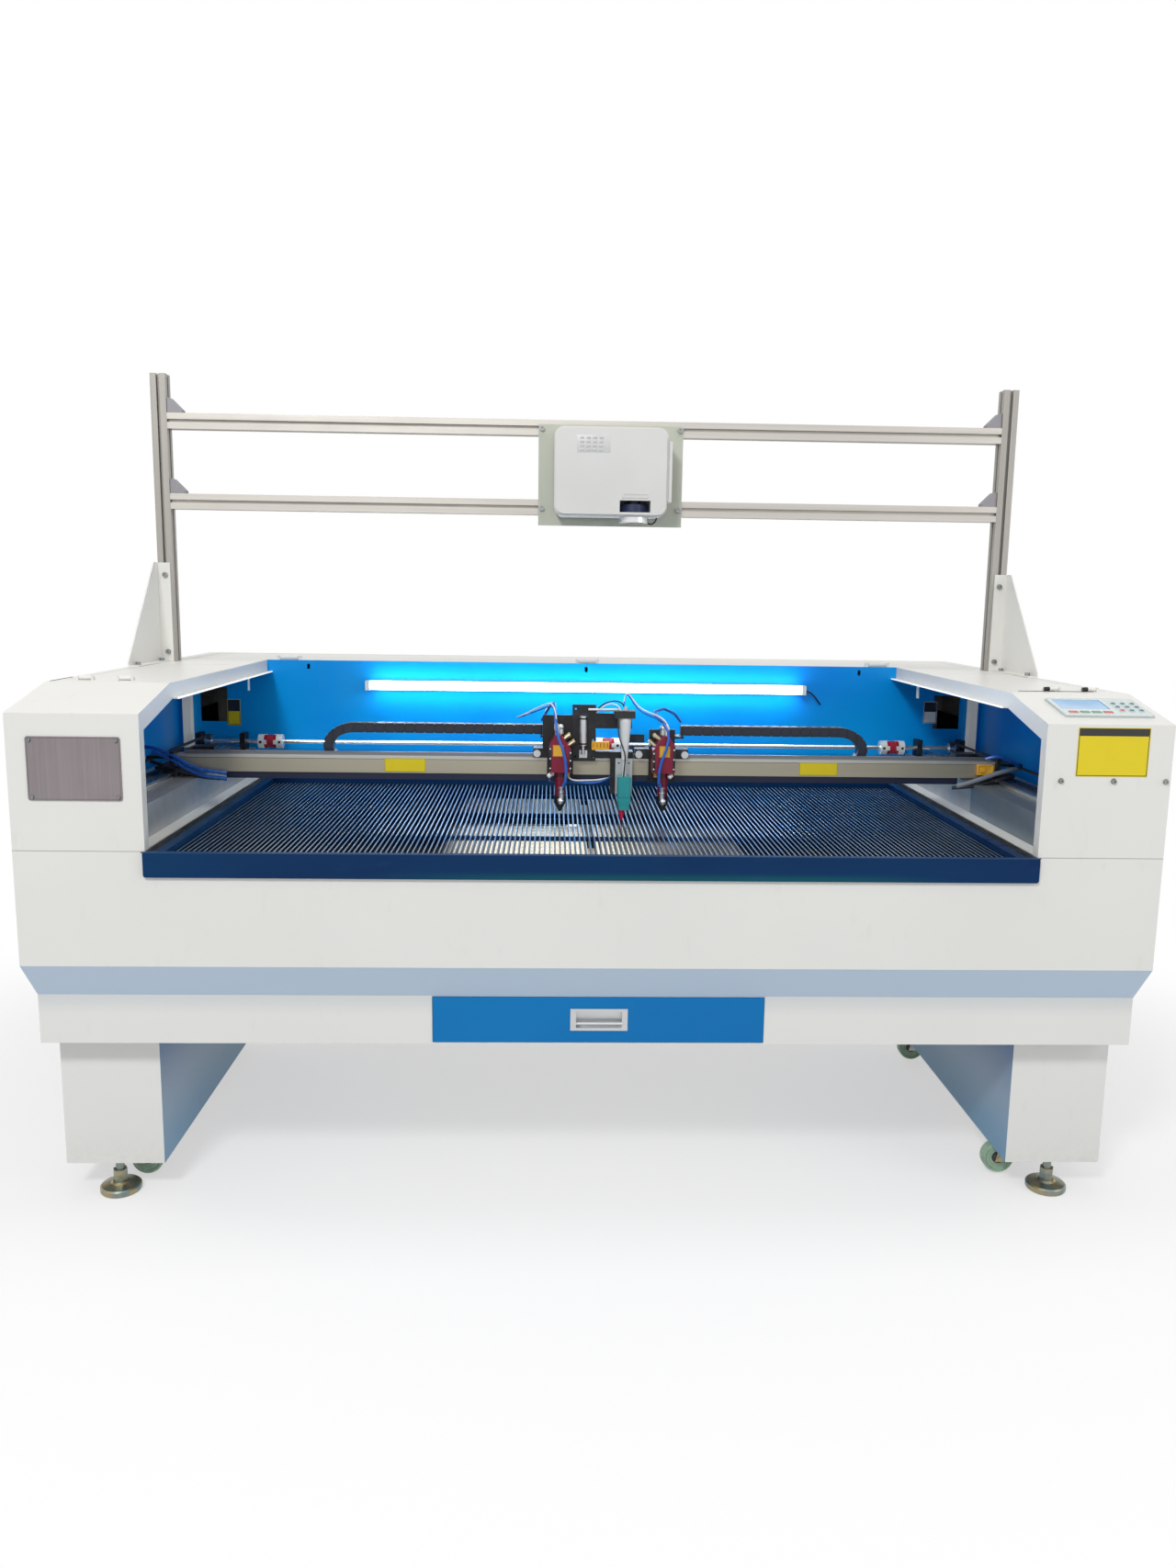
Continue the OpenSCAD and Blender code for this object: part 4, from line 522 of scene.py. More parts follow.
def lip_enamel():
    """Dark glossy enamel of the bed frame, with a teal lower edge on the lip and a painted highlight along
    its top.
    """
    p, x, y, z = begin("bed_frame_enamel", colours().bed)
    cloud = p.noise(1.6, (1.0, 1.0, 3.0), 3.0).ramp(0.32, 0.72)
    lip = y < FRONT - 0.001
    p.lay(cloud * 0.5, 4, 62, 104)
    teal = lip * z.ramp(0.752, 0.738) * x.ramp(-0.5, -0.1) * x.ramp(0.75, 0.45)
    p.lay(teal * 0.55, 16, 92, 92)
    # Painted highlight along the top of the lip.
    p.lay(lip * (z > 0.7835) * 0.5, 60, 84, 116)
    scuffs = p.noise(44.0, (0.3, 1.0, 1.0), 4.0).ramp(0.58, 0.8)
    p.lay(scuffs * 0.05, 90, 120, 150)
    return p.shader(Roughness=0.36 + scuffs * 0.2 + cloud * 0.06,
                    Specular_IOR_Level=0.14, grain=(420.0, 0.0001, 0.25))


def blade_metal():
    """Blades: dark navy flanks as painted shade and blue reflection, lighter streaks on their upper part,
    upper edges as bare metal with a painted highlight, and light soot.
    """
    p, x, y, z = begin("blade_metal", colours().blades)
    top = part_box("blade_grid")[1].z
    edge, upper = z > top - 0.0009, z.ramp(top - 0.010, top - 0.001)
    soot = p.noise(9.0, (1.0, 0.5, 1.0), 4.0).ramp(0.35, 0.72)
    streaks = p.noise(70.0, (1.0, 0.25, 1.0), 3.0)
    p.lay(upper * 0.3 * streaks.ramp(0.3, 0.7), 40, 92, 140)
    # Upper edges: bare metal made lighter as a painted highlight, with patches of soot.
    p.lay(edge, p.blend(soot * 0.35, colours().blade_edges, tint(120, 136, 156)))
    return p.shader(Metallic=0.55 + edge * 0.3, Roughness=0.3 + soot * 0.1,
                    Specular_IOR_Level=0.2, Normal=p.bump(streaks, 0.0001, 0.2))


def perforated_metal():
    """Perforated sheets under the blades: cream zinc with a painted glow, strongest near the middle of their
    front part.
    """
    p, x, y, z = begin("perforated_sheet", 248, 246, 232)
    cloud = p.film(9.0, 0.3, 0.7, 3.0)
    p.lay(cloud * 0.25, 214, 214, 204)
    # Painted light: a glow near the middle of the front part of the sheets, and a faint one towards the
    # front.
    glow = (abs(x - 0.1).ramp(0.7, 0.3) * y.ramp(FRONT + 0.62, FRONT + 0.3) * 0.75
            + y.ramp(FRONT + 0.8, FRONT + 0.1) * 0.06)
    return p.shader(Metallic=0.1, Roughness=0.4 + cloud * 0.12,
                    Emission_Color=p.blend(glow, BLACK, tint(255, 248, 222)),
                    Emission_Strength=1.0, grain=(240.0, 0.0001, 0.3))


def beam_metal():
    """Anodised beam: upper strip lighter as a painted highlight, brushed face, navy cable cover below, steel
    guide above.
    """
    p, x, y, z = begin("beam_anodised", colours().beam)
    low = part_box("gantry_beam")[0].z + 0.016
    high = low + 0.040
    lines = p.noise(60.0, (0.02, 1.0, 1.0), 5.0)
    p.lay(lines.ramp(0.3, 0.7) * 0.4, darker(colours().beam, 0.85))
    # Painted highlight: the upper strip of the face is made lighter.
    p.lay(z.between(high - 0.0062, high + 0.0005), 196, 196, 190)
    p.lay(z.between(high - 0.0072, high - 0.0062), 60, 58, 52)
    p.lay(z > high + 0.0005, 120, 124, 130)
    cover = z < low
    p.lay(cover, 16, 24, 54)
    film = p.film(20.0, 0.45, 0.75)
    return p.shader(Metallic=0.75 - cover * 0.75,
                    Roughness=0.38 + lines * 0.12 + film * 0.08, Normal=p.bump(lines, 0.0001, 0.35))


def chain_plastic(name, node):
    """Glass filled plastic of the drag chains, with a painted highlight on the top of each link."""
    p, x, y, z = begin(name, colours().chain)
    low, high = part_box(node)
    step = (x - low.x).turns(LINK)
    middle = (low.y + high.y) / 2
    # Painted highlight: the middle of each link's top is made lighter.
    mark = step.between(0.28, 0.62) * (z > high.z - 0.0008) * (abs(y - middle) < 0.006)
    side = step.between(0.12, 0.88) * (y < low.y + 0.0006) * z.between(low.z + 0.004, high.z - 0.004)
    film = p.film(30.0, 0.4, 0.75)
    p.lay(film * 0.12, 60, 72, 96)
    p.lay(side * 0.18, 52, 62, 84)
    p.lay(mark * 0.7, 150, 158, 168)
    return p.shader(Roughness=0.36 + film * 0.12, Specular_IOR_Level=0.45,
                    Normal=p.bump(p.noise(700.0) * 0.4 + side, 0.0002, 0.4))


def shaft_finish():
    """Ground shaft with clear plastic coupling hubs whose red jaws show through."""
    p, x, y, z = begin("drive_shaft_finish", 232, 236, 238)
    mid_y, mid_z = (sum(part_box("drive_shaft"), Vector()) / 2).yz
    hub = (reach(y - mid_y, z - mid_z) > 0.0095) * (abs(x) < 0.95)
    turn = (z - mid_z).angle(y - mid_y)
    claw = turn.turns(pi / 2).between(0.2, 0.8)
    along = abs(abs(x) - SIDE_COUPLING).least(abs(x - MID_COUPLING))
    near = along < 0.0165
    screw = (abs(along - 0.026) < 0.0035) * (abs(z - mid_z) < 0.0035)
    lines = p.noise(90.0, (1.0, 0.1, 0.1), 3.0)
    p.lay(lines.ramp(0.3, 0.7) * 0.2, 196, 202, 208)
    p.lay(hub, 236, 240, 240)
    p.lay(hub * claw * near, 170, 24, 44)
    p.lay(hub * screw, 40, 40, 44)
    return p.shader(Metallic=0.9 - hub * 0.75, Roughness=0.16 + lines * 0.06,
                    Normal=p.bump(lines, 0.00002, 0.1))


def head_finish(name, place, hand):
    """Cutting head: anodised block and tube, black tip, brass mirror face, bright fittings."""
    rgb = colours().heads
    p, x, y, z = begin(name, rgb)
    dx, dy, h = (x - place.x) * hand, y - place.y, z - place.z
    film = p.film(50.0, 0.4, 0.75)
    fine = p.noise(500.0, detail=1.0)
    block_low, block_high = 0.0955, 0.1842
    p.lay(film * 0.25, darker(rgb, 0.6))
    tube = h < block_low
    p.lay(tube, darker(rgb, 0.8))
    p.lay(h.between(0.0495, 0.0515) + h.between(0.0835, 0.0855), darker(rgb, 0.25))
    p.lay(h < 0.0385, 24, 20, 26)
    low_fitting = tube * (abs(dx) > 0.0128) * (h > 0.08)
    p.lay(low_fitting * (dx > 0.0), 196, 158, 84)
    p.lay(low_fitting * (dx < 0.0), 236, 238, 238)
    slope = (dx - 0.01928) * MIRROR_X + (h - 0.1595) * MIRROR_Z
    brass = (slope > 0.0008) * (dx > 0.0085)
    p.lay(brass, 196, 186, 158)
    top = (h > block_high) * (dx < 0.0085)
    p.lay(top, 206, 208, 210)
    p.lay(top * (dy < -0.0045) * (dx < -0.003), 238, 240, 240)
    elbow = (dy < -0.0165) * h.between(0.018, 0.056)
    p.lay(elbow, 200, 202, 204)
    metal = (brass + top + elbow).least(1.0) * 0.9 + 0.25 * h.between(block_low, block_high)
    return p.shader(Metallic=metal.least(0.95),
                    Roughness=0.28 + film * 0.14, Normal=p.bump(fine, 0.00006, 0.4))


def carriage_finish(name, place, frame_side=False):
    """Black anodised carriage; on the left one, bright cylinder and rod and an amber terminal."""
    p, x, y, z = begin(name, 26, 27, 32)
    film = p.film(28.0, 0.45, 0.75)
    p.lay(film * 0.14, 112, 116, 124)
    beam_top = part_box("marker_plate")[1].z - 0.003
    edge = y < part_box("marker_plate")[1].y - 0.0002
    roller = ((abs(x - place.x) > 0.0455) * (abs(x - place.x) < 0.0642) * (y < place.y + 0.0375)
              * (z > beam_top + 0.003) * (z < beam_top + 0.0212))
    p.lay(roller, 204, 206, 208)
    metal = roller * 0.6 + 0.35
    if frame_side:
        dx, h = x - place.x, z - beam_top
        front = edge.most(dx > 0.0842)
        amber = dx.between(0.0745, 0.1165) * h.between(0.0235, 0.0435)
        slot = dx.turns(0.0083).between(0.42, 0.58) * h.between(0.03, 0.04)
        p.lay(amber, 232, 168, 36)
        p.lay(amber * slot, 60, 46, 30)
        cylinder = edge * (abs(dx - 0.054) < 0.0093) * h.between(0.0115, 0.105)
        rod = front * h.between(0.1155, 0.1225) * (dx > 0.0655)
        p.lay(cylinder.most(rod), 198, 202, 206)
        for seal in (0.036, 0.096):
            p.lay(cylinder * h.between(seal, seal + 0.004), 60, 62, 66)
        metal = metal + cylinder.most(rod) * 0.6 - amber * 0.35
    return p.shader(Metallic=metal, Roughness=0.38 + film * 0.16, grain=(640.0, 0.00006, 0.4, 1.0))


def valve_finish():
    """Marking valve: magenta needle, teal body, milky syringe barrel, black clamp."""
    p, x, y, z = begin("marking_valve_finish", colours().valve)
    h = z - MARKER.z
    film = p.film(60.0, 0.35, 0.7, 3.0)
    p.lay(film * 0.25, darker(colours().valve, 0.7))
    p.lay(h < 0.0262, colours().needle)
    p.lay(h.between(0.0555, 0.0575) * 0.5, 10, 60, 64)
    p.lay(h > 0.1062, 238, 240, 240)
    p.lay(h.between(0.154, 0.236) * 0.16, 150, 176, 190)
    p.lay(h.between(0.142, 0.1455), 206, 210, 212)
    p.lay(h > 0.2448, 24, 25, 30)
    p.lay(h > 0.2622, 200, 204, 208)
    return p.shader(Roughness=0.3 + film * 0.12, grain=(520.0, 0.00006, 0.35))


def panel_finish():
    """Operator panel: pale film with a grey rim, a blue screen and a field for the keys."""
    p, x, y, z = begin("operator_panel_film", 214, 224, 222)
    low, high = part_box("control_panel")
    lean = atan2(TOWER[1].z - PANEL_FOOT, PANEL_RUN)
    middle = (low + high) / 2
    u = x - middle.x
    v = (y - middle.y) * cos(lean) + (z - middle.z) * sin(lean)
    film = p.film(40.0, 0.4, 0.7, 3.0)
    p.lay(film * 0.2, 190, 206, 206)
    p.lay((abs(u) > 0.089).most(abs(v) > 0.054) * 0.6, 168, 178, 178)
    screen = u.between(-0.0822, 0.0182) * v.between(-0.0142, 0.047)
    glow = p.film(14.0, 0.3, 0.7, 2.0)
    p.lay(screen, p.blend(glow * 0.6, tint(92, 148, 204), tint(150, 192, 226)))
    p.lay(screen * (abs(v + 0.003) < 0.0006) * 0.5, 230, 238, 250)
    p.lay(u.between(0.026, 0.087) * v.between(-0.042, 0.047) * 0.35, 176, 200, 200)
    return p.shader(Roughness=0.24 + film * 0.1, Coat_Weight=0.2, grain=(700.0, 0.00005, 0.25))


def nameplate_finish():
    """Bare stainless nameplate, brushed upright, with a fine dark line inside its edge."""
    p, x, y, z = begin("nameplate_brushed", 146, 138, 140)
    lines = p.noise(260.0, (1.0, 1.0, 0.02), 4.0)
    cloud = p.film(7.0, 0.3, 0.7, 3.0)
    p.lay(lines.ramp(0.3, 0.7) * 0.22, 116, 108, 112)
    p.lay(cloud * 0.2, 104, 96, 100)
    p.lay(inset(x, z, *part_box("nameplate")).between(0.0022, 0.0032) * 0.6, 70, 66, 66)
    return p.shader(Metallic=0.6, Roughness=0.4 + lines * 0.12, Normal=p.bump(lines, 0.00006, 0.3))


def plate_vinyl(name, piece_box, rgb, dark_band=0.0):
    """Plain self adhesive plate with a thin dark line round its edge, and a dark field at its top."""
    p, x, y, z = begin(name, rgb)
    low, high = piece_box
    near = inset(x, z, low, high)
    film = p.film(30.0, 0.4, 0.75)
    p.lay(film * 0.2, darker(rgb, 0.86))
    line = min((high - low).z / 2 * 0.06, 0.0022)
    p.lay(near.between(line * 0.6, line * 1.5) * 0.85, 46, 42, 24)
    if dark_band:
        p.lay((z > high.z - dark_band) * (near > line), 34, 32, 30)
    return p.shader(Roughness=0.3 + film * 0.12, Coat_Weight=0.15, grain=(300.0, 0.00005, 0.25))


def lamp_glow():
    """Lit tube with dimmer ends."""
    p, x, y, z = begin("lamp_glow")
    ends = within(x, *LAMP).ramp(0.0, 0.03)
    streak = p.noise(4.0) * 0.1
    light = p.blend(ends, tint(150, 200, 235), colours().lamp)
    return p.shader(Base_Color=p.blend(ends, tint(200, 205, 210), tint(245, 250, 255)),
                    Roughness=0.3 + streak, Emission_Color=light, Emission_Strength=13.0)


def lamp_holder_finish():
    """White lamp holder with its dark lead."""
    p, x, y, z = begin("lamp_holder_plastic", 232, 236, 238)
    film = p.film(24.0, 0.45, 0.75)
    p.lay(film * 0.1, 150, 152, 156)
    p.lay(x > LAMP[1].x + 0.012, 30, 34, 52)
    return p.shader(Roughness=0.36 + film * 0.1, grain=(600.0, 0.00008, 0.4))


def caster_tread():
    """Caster wheel: pale tread round a dark steel hub."""
    p, x, y, z = begin("caster_tread", colours().wheels)
    right, left = (sum(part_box("caster_wheel_front_" + side), Vector()) / 2 for side in ("right", "left"))
    away = reach(abs(x - (right.x + left.x) / 2) - (right.x - left.x) / 2, z - right.z)
    dust = p.film(70.0, 0.4, 0.7)
    p.lay(dust * 0.4, 150, 150, 134)
    p.lay(away.between(0.019, 0.0205) * 0.6, 110, 116, 100)
    p.lay(away < 0.0145, 64, 66, 68)
    return p.shader(Roughness=0.42 + dust * 0.2, Normal=p.bump(dust + p.noise(400.0), 0.0002, 0.4))


def case_plastic():
    """Fine textured plastic of the projector, with a dark lens window and a bright lens rim."""
    p, x, y, z = begin("projector_case_plastic", 222, 222, 219)
    low = CASE[0].z
    cloud = p.film(5.0, 0.3, 0.7, 2.0)
    mid_x, mid_y = RING_MIDDLE
    away = reach(x - mid_x, y - mid_y)
    p.lay(cloud * 0.4, 208, 208, 206)
    rim = (z < low + 0.0138) * (away < 0.0402)
    p.lay(rim, 226, 228, 230)
    p.lay(rim * (away < 0.028), 20, 24, 34)
    p.lay(z.between(low + 0.0138, low + 0.06) * (away < 0.0185), 30, 34, 46)
    slider = (y < CASE[0].y + 0.0006) * (abs(x - mid_x) < 0.034) * z.between(low + 0.0585, low + 0.0605)
    p.lay(slider * 0.4, 150, 150, 150)
    return p.shader(Metallic=rim * 0.8, Roughness=0.42 - rim * 0.2 + cloud * 0.05,
                    grain=(900.0, 0.0001, 0.35, 1.0))


def rail_metal():
    """Galvanised channel beams: brushed walls, painted shade on the front of the right one, pale rear ends
    with a painted glow.
    """
    p, x, y, z = begin("rail_beam_metal", 196, 194, 188)
    lines = p.noise(50.0, (1.0, 0.03, 1.0), 5.0)
    spangle = p.film(26.0, 0.35, 0.7, 3.0)
    p.lay(lines.ramp(0.3, 0.7) * 0.3, 160, 160, 156)
    p.lay(spangle * 0.2, 130, 140, 148)
    post = (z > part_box("y_guides")[0].z + 0.0005) * (y > FRONT + 1.0)
    # Painted shade on the front part of the right beam.
    p.lay(x.ramp(-0.2, 0.2) * (y < FRONT + 0.5) * 0.7, 104, 122, 134)
    # Painted light: the rear parts are made pale and are given a painted glow.
    p.lay(post, 226, 224, 212)
    return p.shader(Metallic=0.7 - post * 0.7, Roughness=0.4 + lines * 0.14,
                    Emission_Color=p.blend(post * 0.13, BLACK, tint(250, 248, 238)),
                    Emission_Strength=1.0, Normal=p.bump(lines, 0.0001, 0.4))


def belt_finish():
    """Toothed belts: black rubber with grey teeth under light dust."""
    p, x, y, z = begin("belt_rubber", 28, 28, 30)
    tooth = y.turns(TOOTH).between(0.25, 0.75)
    film = p.film(40.0, 0.4, 0.7, 3.0)
    p.lay(film * 0.2, 74, 76, 80)
    p.lay(tooth * 0.2, 60, 62, 66)
    return p.shader(Roughness=0.55 + film * 0.1, Normal=p.bump(tooth, 0.0006, 0.5))


def motor_finish(name="motor_black"):
    """Black cases of motors and bearings under light dust."""
    p = Paint(name, 22, 23, 26)
    film = p.film(30.0, 0.45, 0.75)
    p.lay(film * 0.2, 90, 94, 100)
    return p.shader(Metallic=0.3, Roughness=0.4 + film * 0.15, grain=(500.0, 0.0001, 0.4))


def glass_tube():
    """Laser tubes: pale hazy glass with dark end caps."""
    p, x, y, z = begin("laser_tube_glass", 224, 234, 236)
    ends = within(x, *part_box("laser_tubes")) < 0.05
    haze = p.film(12.0, 0.3, 0.7, 3.0)
    p.lay(haze * 0.3, 196, 214, 222)
    p.lay(ends, 40, 42, 62)
    return p.shader(Roughness=0.12 + haze * 0.08 + ends * 0.4, Coat_Weight=0.4,
                    Normal=p.bump(haze, 0.0001, 0.2))


def ring_rubber():
    """Knurled dark blue focus ring."""
    p, x, y, z = begin("focus_ring_rubber", 20, 30, 62)
    mid_x, mid_y = RING_MIDDLE
    turn = (y - mid_y).angle(x - mid_x)
    ridge = turn.turns(2 * pi / KNURLS).between(0.3, 0.7)
    film = p.film(60.0, 0.4, 0.7, 3.0)
    p.lay(film * 0.3, 50, 66, 110)
    p.lay(ridge * 0.3, 60, 78, 130)
    return p.shader(Roughness=0.36 + film * 0.12, Normal=p.bump(ridge, 0.0005, 0.5))


# ---------- operators ----------
class LASER_OT_coat_cabinet(bpy.types.Operator):
    """Coats the cabinet, towers, doors, legs, gussets and rear housing."""
    bl_idname = "laser.coat_cabinet"
    bl_label = "Coat Cabinet"

    def execute(self, context):
        rgb = colours().covers
        seam, top_z = TOWER[0].z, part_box("back_panel")[1].z
        low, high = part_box("pedestals")
        inner = high.x - 0.2085
        # Painted shade: the chamfer is tinted blue grey, and a band of the apron just under it is darkened
        # as a painted shadow.
        chamfer = ((lambda x, y, z: z.between(*CHAMFER) * (y < FRONT + 1.0), 0.8, tint(176, 200, 222)),
                   (lambda x, y, z: z.ramp(0.428, 0.472) * (z < CHAMFER[0]), 0.42, tint(186, 192, 198)))
        # Painted shade: the inner faces of the legs are tinted blue, darkest at the top and lighter towards
        # the bottom.
        legs = ((lambda x, y, z: (abs(x) < inner) * z.ramp(low.z, high.z), 0.95, tint(14, 92, 152)),
                (lambda x, y, z: (abs(x) < inner) * z.ramp(high.z, low.z), 0.9, tint(66, 140, 184)))
        # Painted light: the inner folds of the tower covers are whitened and given a painted glow.
        fold = ((lambda x, y, z: abs(x) < TOWER[0].x + 0.003, 1.0, tint(253, 253, 251), 0.55),)
        dress(cover_coat("cabinet_coat", rgb, shades=chamfer), "base_cabinet", "duct_floor")
        dress(cover_coat("leg_coat", rgb, shades=legs), "pedestals")
        dress(cover_coat("tower_coat", rgb, seam, top_z + 0.0004, fold), "tower_cover_left",
              "tower_cover_right", "door_left", "door_right")
        dress(cover_coat("housing_coat", rgb), "tube_housing", "tube_lid", "gussets")
        return {"FINISHED"}


class LASER_OT_coat_panels(bpy.types.Operator):
    """Enamels the blue panels and the dark bed frame."""
    bl_idname = "laser.coat_panels"
    bl_label = "Coat Panels"

    def execute(self, context):
        dress(enamel("blue_panel_enamel", colours().panels, tint(0, 128, 236)), "back_panel")
        dress(enamel("drawer_enamel", colours().drawer, tint(0, 108, 176), 0.4, 0.0), "drawer")
        dress(lip_enamel(), "bed_frame")
        return {"FINISHED"}


class LASER_OT_finish_bed(bpy.types.Operator):
    """Finishes the blades, the perforated sheets and the drawer pull."""
    bl_idname = "laser.finish_bed"
    bl_label = "Finish Bed"

    def execute(self, context):
        dress(blade_metal(), "blade_grid")
        dress(perforated_metal(), "extraction_plates")
        dress(brushed("pull_satin", tint(206, 208, 210), (0.05, 1.0, 1.0), 0.3), "drawer_pull")
        return {"FINISHED"}


class LASER_OT_finish_drive(bpy.types.Operator):
    """Finishes the rails, guides, belts, shaft and bearings."""
    bl_idname = "laser.finish_drive"
    bl_label = "Finish Drive"

    def execute(self, context):
        dress(rail_metal(), "rail_beams")
        dress(brushed("guide_steel", tint(206, 210, 214), (1.0, 0.02, 1.0), 0.18, 1.0, 0.08), "y_guides")
        dress(belt_finish(), "y_belts")
        dress(shaft_finish(), "drive_shaft")
        dress(moulded("spider_rubber", tint(165, 25, 50), 0.4, 600.0, 0.0, 0.06), "shaft_spiders")
        dress(motor_finish("bearing_black"), "shaft_bearings", "gantry_ends")
        dress(motor_finish(), "x_motors")
        dress(glass_tube(), "laser_tubes")
        return {"FINISHED"}


class LASER_OT_finish_gantry(bpy.types.Operator):
    """Finishes the beam and the drag chains."""
    bl_idname = "laser.finish_gantry"
    bl_label = "Finish Gantry"

    def execute(self, context):
        dress(beam_metal(), "gantry_beam")
        for run in ("lower", "bend", "upper"):
            for side in ("left", "right"):
                node = f"chain_{run}_{side}"
                dress(chain_plastic(node + "_plastic", node), node)
        return {"FINISHED"}


class LASER_OT_finish_heads(bpy.types.Operator):
    """Finishes the carriages, the cutting heads, their hoses and the marking valve."""
    bl_idname = "laser.finish_heads"
    bl_label = "Finish Heads"

    def execute(self, context):
        dress(head_finish("left_head_finish", HEAD_LEFT, 1.0), "laser_head_left")
        dress(head_finish("right_head_finish", HEAD_RIGHT, -1.0), "laser_head_right")
        dress(carriage_finish("left_carriage_finish", HEAD_LEFT, True), "carriage_left")
        dress(carriage_finish("right_carriage_finish", HEAD_RIGHT), "carriage_right")
        dress(moulded("air_hose_blue", colours().air_hose, 0.28, 300.0, 0.0, 0.08),
              "hose_left", "hose_right")
        dress(valve_finish(), "marker_valve")
        dress(brushed("marker_plate_metal", tint(196, 200, 202), (1.0, 1.0, 0.05), 0.36, 0.9),
              "marker_plate")
        return {"FINISHED"}


class LASER_OT_finish_projector_frame(bpy.types.Operator):
    """Finishes the extrusions, brackets, screws and the projector."""
    bl_idname = "laser.finish_projector_frame"
    bl_label = "Finish Projector Frame"

    def execute(self, context):
        rgb = colours().extrusion
        dress(brushed("upright_anodised", darker(rgb, 0.7), (1.0, 1.0, 0.02), 0.4, 0.6, 0.06, 90.0),
              "uprights")
        dress(brushed("rail_anodised", rgb, (0.02, 1.0, 1.0), 0.36, 0.75, 0.06, 90.0), "frame_rails")
        dress(moulded("bracket_casting", tint(140, 138, 142), 0.46, 240.0, 0.6, 0.12), "corner_brackets")
        dress(cover_coat("projector_plate_coat", tint(192, 196, 182)), "projector_plate")
        dress(case_plastic(), "projector_case")
        dress(ring_rubber(), "projector_focus_ring")
        dress(zinc_plate("screw_zinc", (160, 162, 164), (146, 146, 142)), "screws")
        return {"FINISHED"}


class LASER_OT_finish_feet(bpy.types.Operator):
    """Finishes the levelling feet and the casters."""
    bl_idname = "laser.finish_feet"
    bl_label = "Finish Feet"

    def execute(self, context):
        dress(zinc_plate("foot_zinc", (140, 144, 136)), "levelling_feet")
        dress(zinc_plate("fork_zinc", (168, 172, 172)), *[n for n in NODES if n.startswith("caster_fork")])
        dress(caster_tread(), *[n for n in NODES if n.startswith("caster_wheel")])
        return {"FINISHED"}


class LASER_OT_finish_controls(bpy.types.Operator):
    """Finishes the operator panel, the nameplate and the lamp."""
    bl_idname = "laser.finish_controls"
    bl_label = "Finish Controls"

    def execute(self, context):
        dress(panel_finish(), "control_panel")
        dress(nameplate_finish(), "nameplate")
        dress(lamp_glow(), "lamp_tube")
        dress(lamp_holder_finish(), "lamp_holder")
        return {"FINISHED"}


class LASER_OT_add_plates(bpy.types.Operator):
    """Adds the plain plates on the tower, the beam and the back panel."""
    bl_idname = "laser.add_plates"
    bl_label = "Add Plates"

    def execute(self, context):
        s = sizes()
        wide, high = s.label_w / MM, s.label_h / MM
        places = [("tower_plate", "frame", 954.8, 952, s.plate_w / MM, s.plate_h / MM, 0, 0.017),
                  ("beam_plate_left", "gantry", -490, 871.5, wide, high, 500, 0.0),
                  ("beam_plate_right", "gantry", 507, 872, wide * 0.95, high * 0.95, 500, 0.0),
                  ("back_plate_left", "frame", -1008, 916, 37, 74, 1048, 0.034),
                  ("back_plate_right", "frame", 978, 943, 38, 62, 1048, 0.029)]
        for name, body, x, z, w, h, y, band in places:
            corners = spot(x, y - 0.5, z), spot(x + w, y, z + h)
            rgb = tint(236, 238, 238) if name == "back_plate_right" else colours().plate
            fit(block(name, *corners, 0.00015, 1), body, plate_vinyl(name + "_vinyl", corners, rgb, band))
        return {"FINISHED"}


class LASER_OT_add_hinge_recesses(bpy.types.Operator):
    """Adds dark pieces of painted shade: the recesses at the door hinges, a gap's shadow and baffles behind
    the slots.
    """
    bl_idname = "laser.add_hinge_recesses"
    bl_label = "Add Hinge Recesses"

    def execute(self, context):
        # Painted shade: black pieces at the hinge recesses, the gap at the left edge and behind the slots.
        material = moulded("recess_shade_black", tint(22, 22, 26), 0.6, 500.0, 0.0, 0.08)
        half = sizes().slit_l / 2
        top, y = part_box("back_panel")[1].z, HINGE[0].y - 0.006
        pieces = [block("recess", (x - 0.024 - half, y - 0.004, top - 0.0002),
                        (x - 0.024 + half, y + 0.003, top + 0.0008), 0.0003, 1, ((0, 0, 1), 0.0012, -0.0004))
                  for x in HINGE_XS]
        fit(joined("hinge_recess_right", pieces), "frame", material)
        gap = block("edge_gap_left", (-TOWER[1].x + 0.002, FRONT + 0.215, top - 0.0002),
                    (-TOWER[1].x + 0.006, FRONT + 0.33, top + 0.0006), 0.0002, 1)
        fit(gap, "frame", material)
        low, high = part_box("tube_housing")
        baffles = [block("baffle", (x - 0.001, low.y + 0.05, low.z + 0.05),
                         (x + 0.001, high.y - 0.05, low.z + 0.21), 0.0004, 1)
                   for x in (0.03 - TOWER[1].x, TOWER[1].x - 0.03)]
        fit(joined("slot_baffles", baffles), "frame", material)
        return {"FINISHED"}


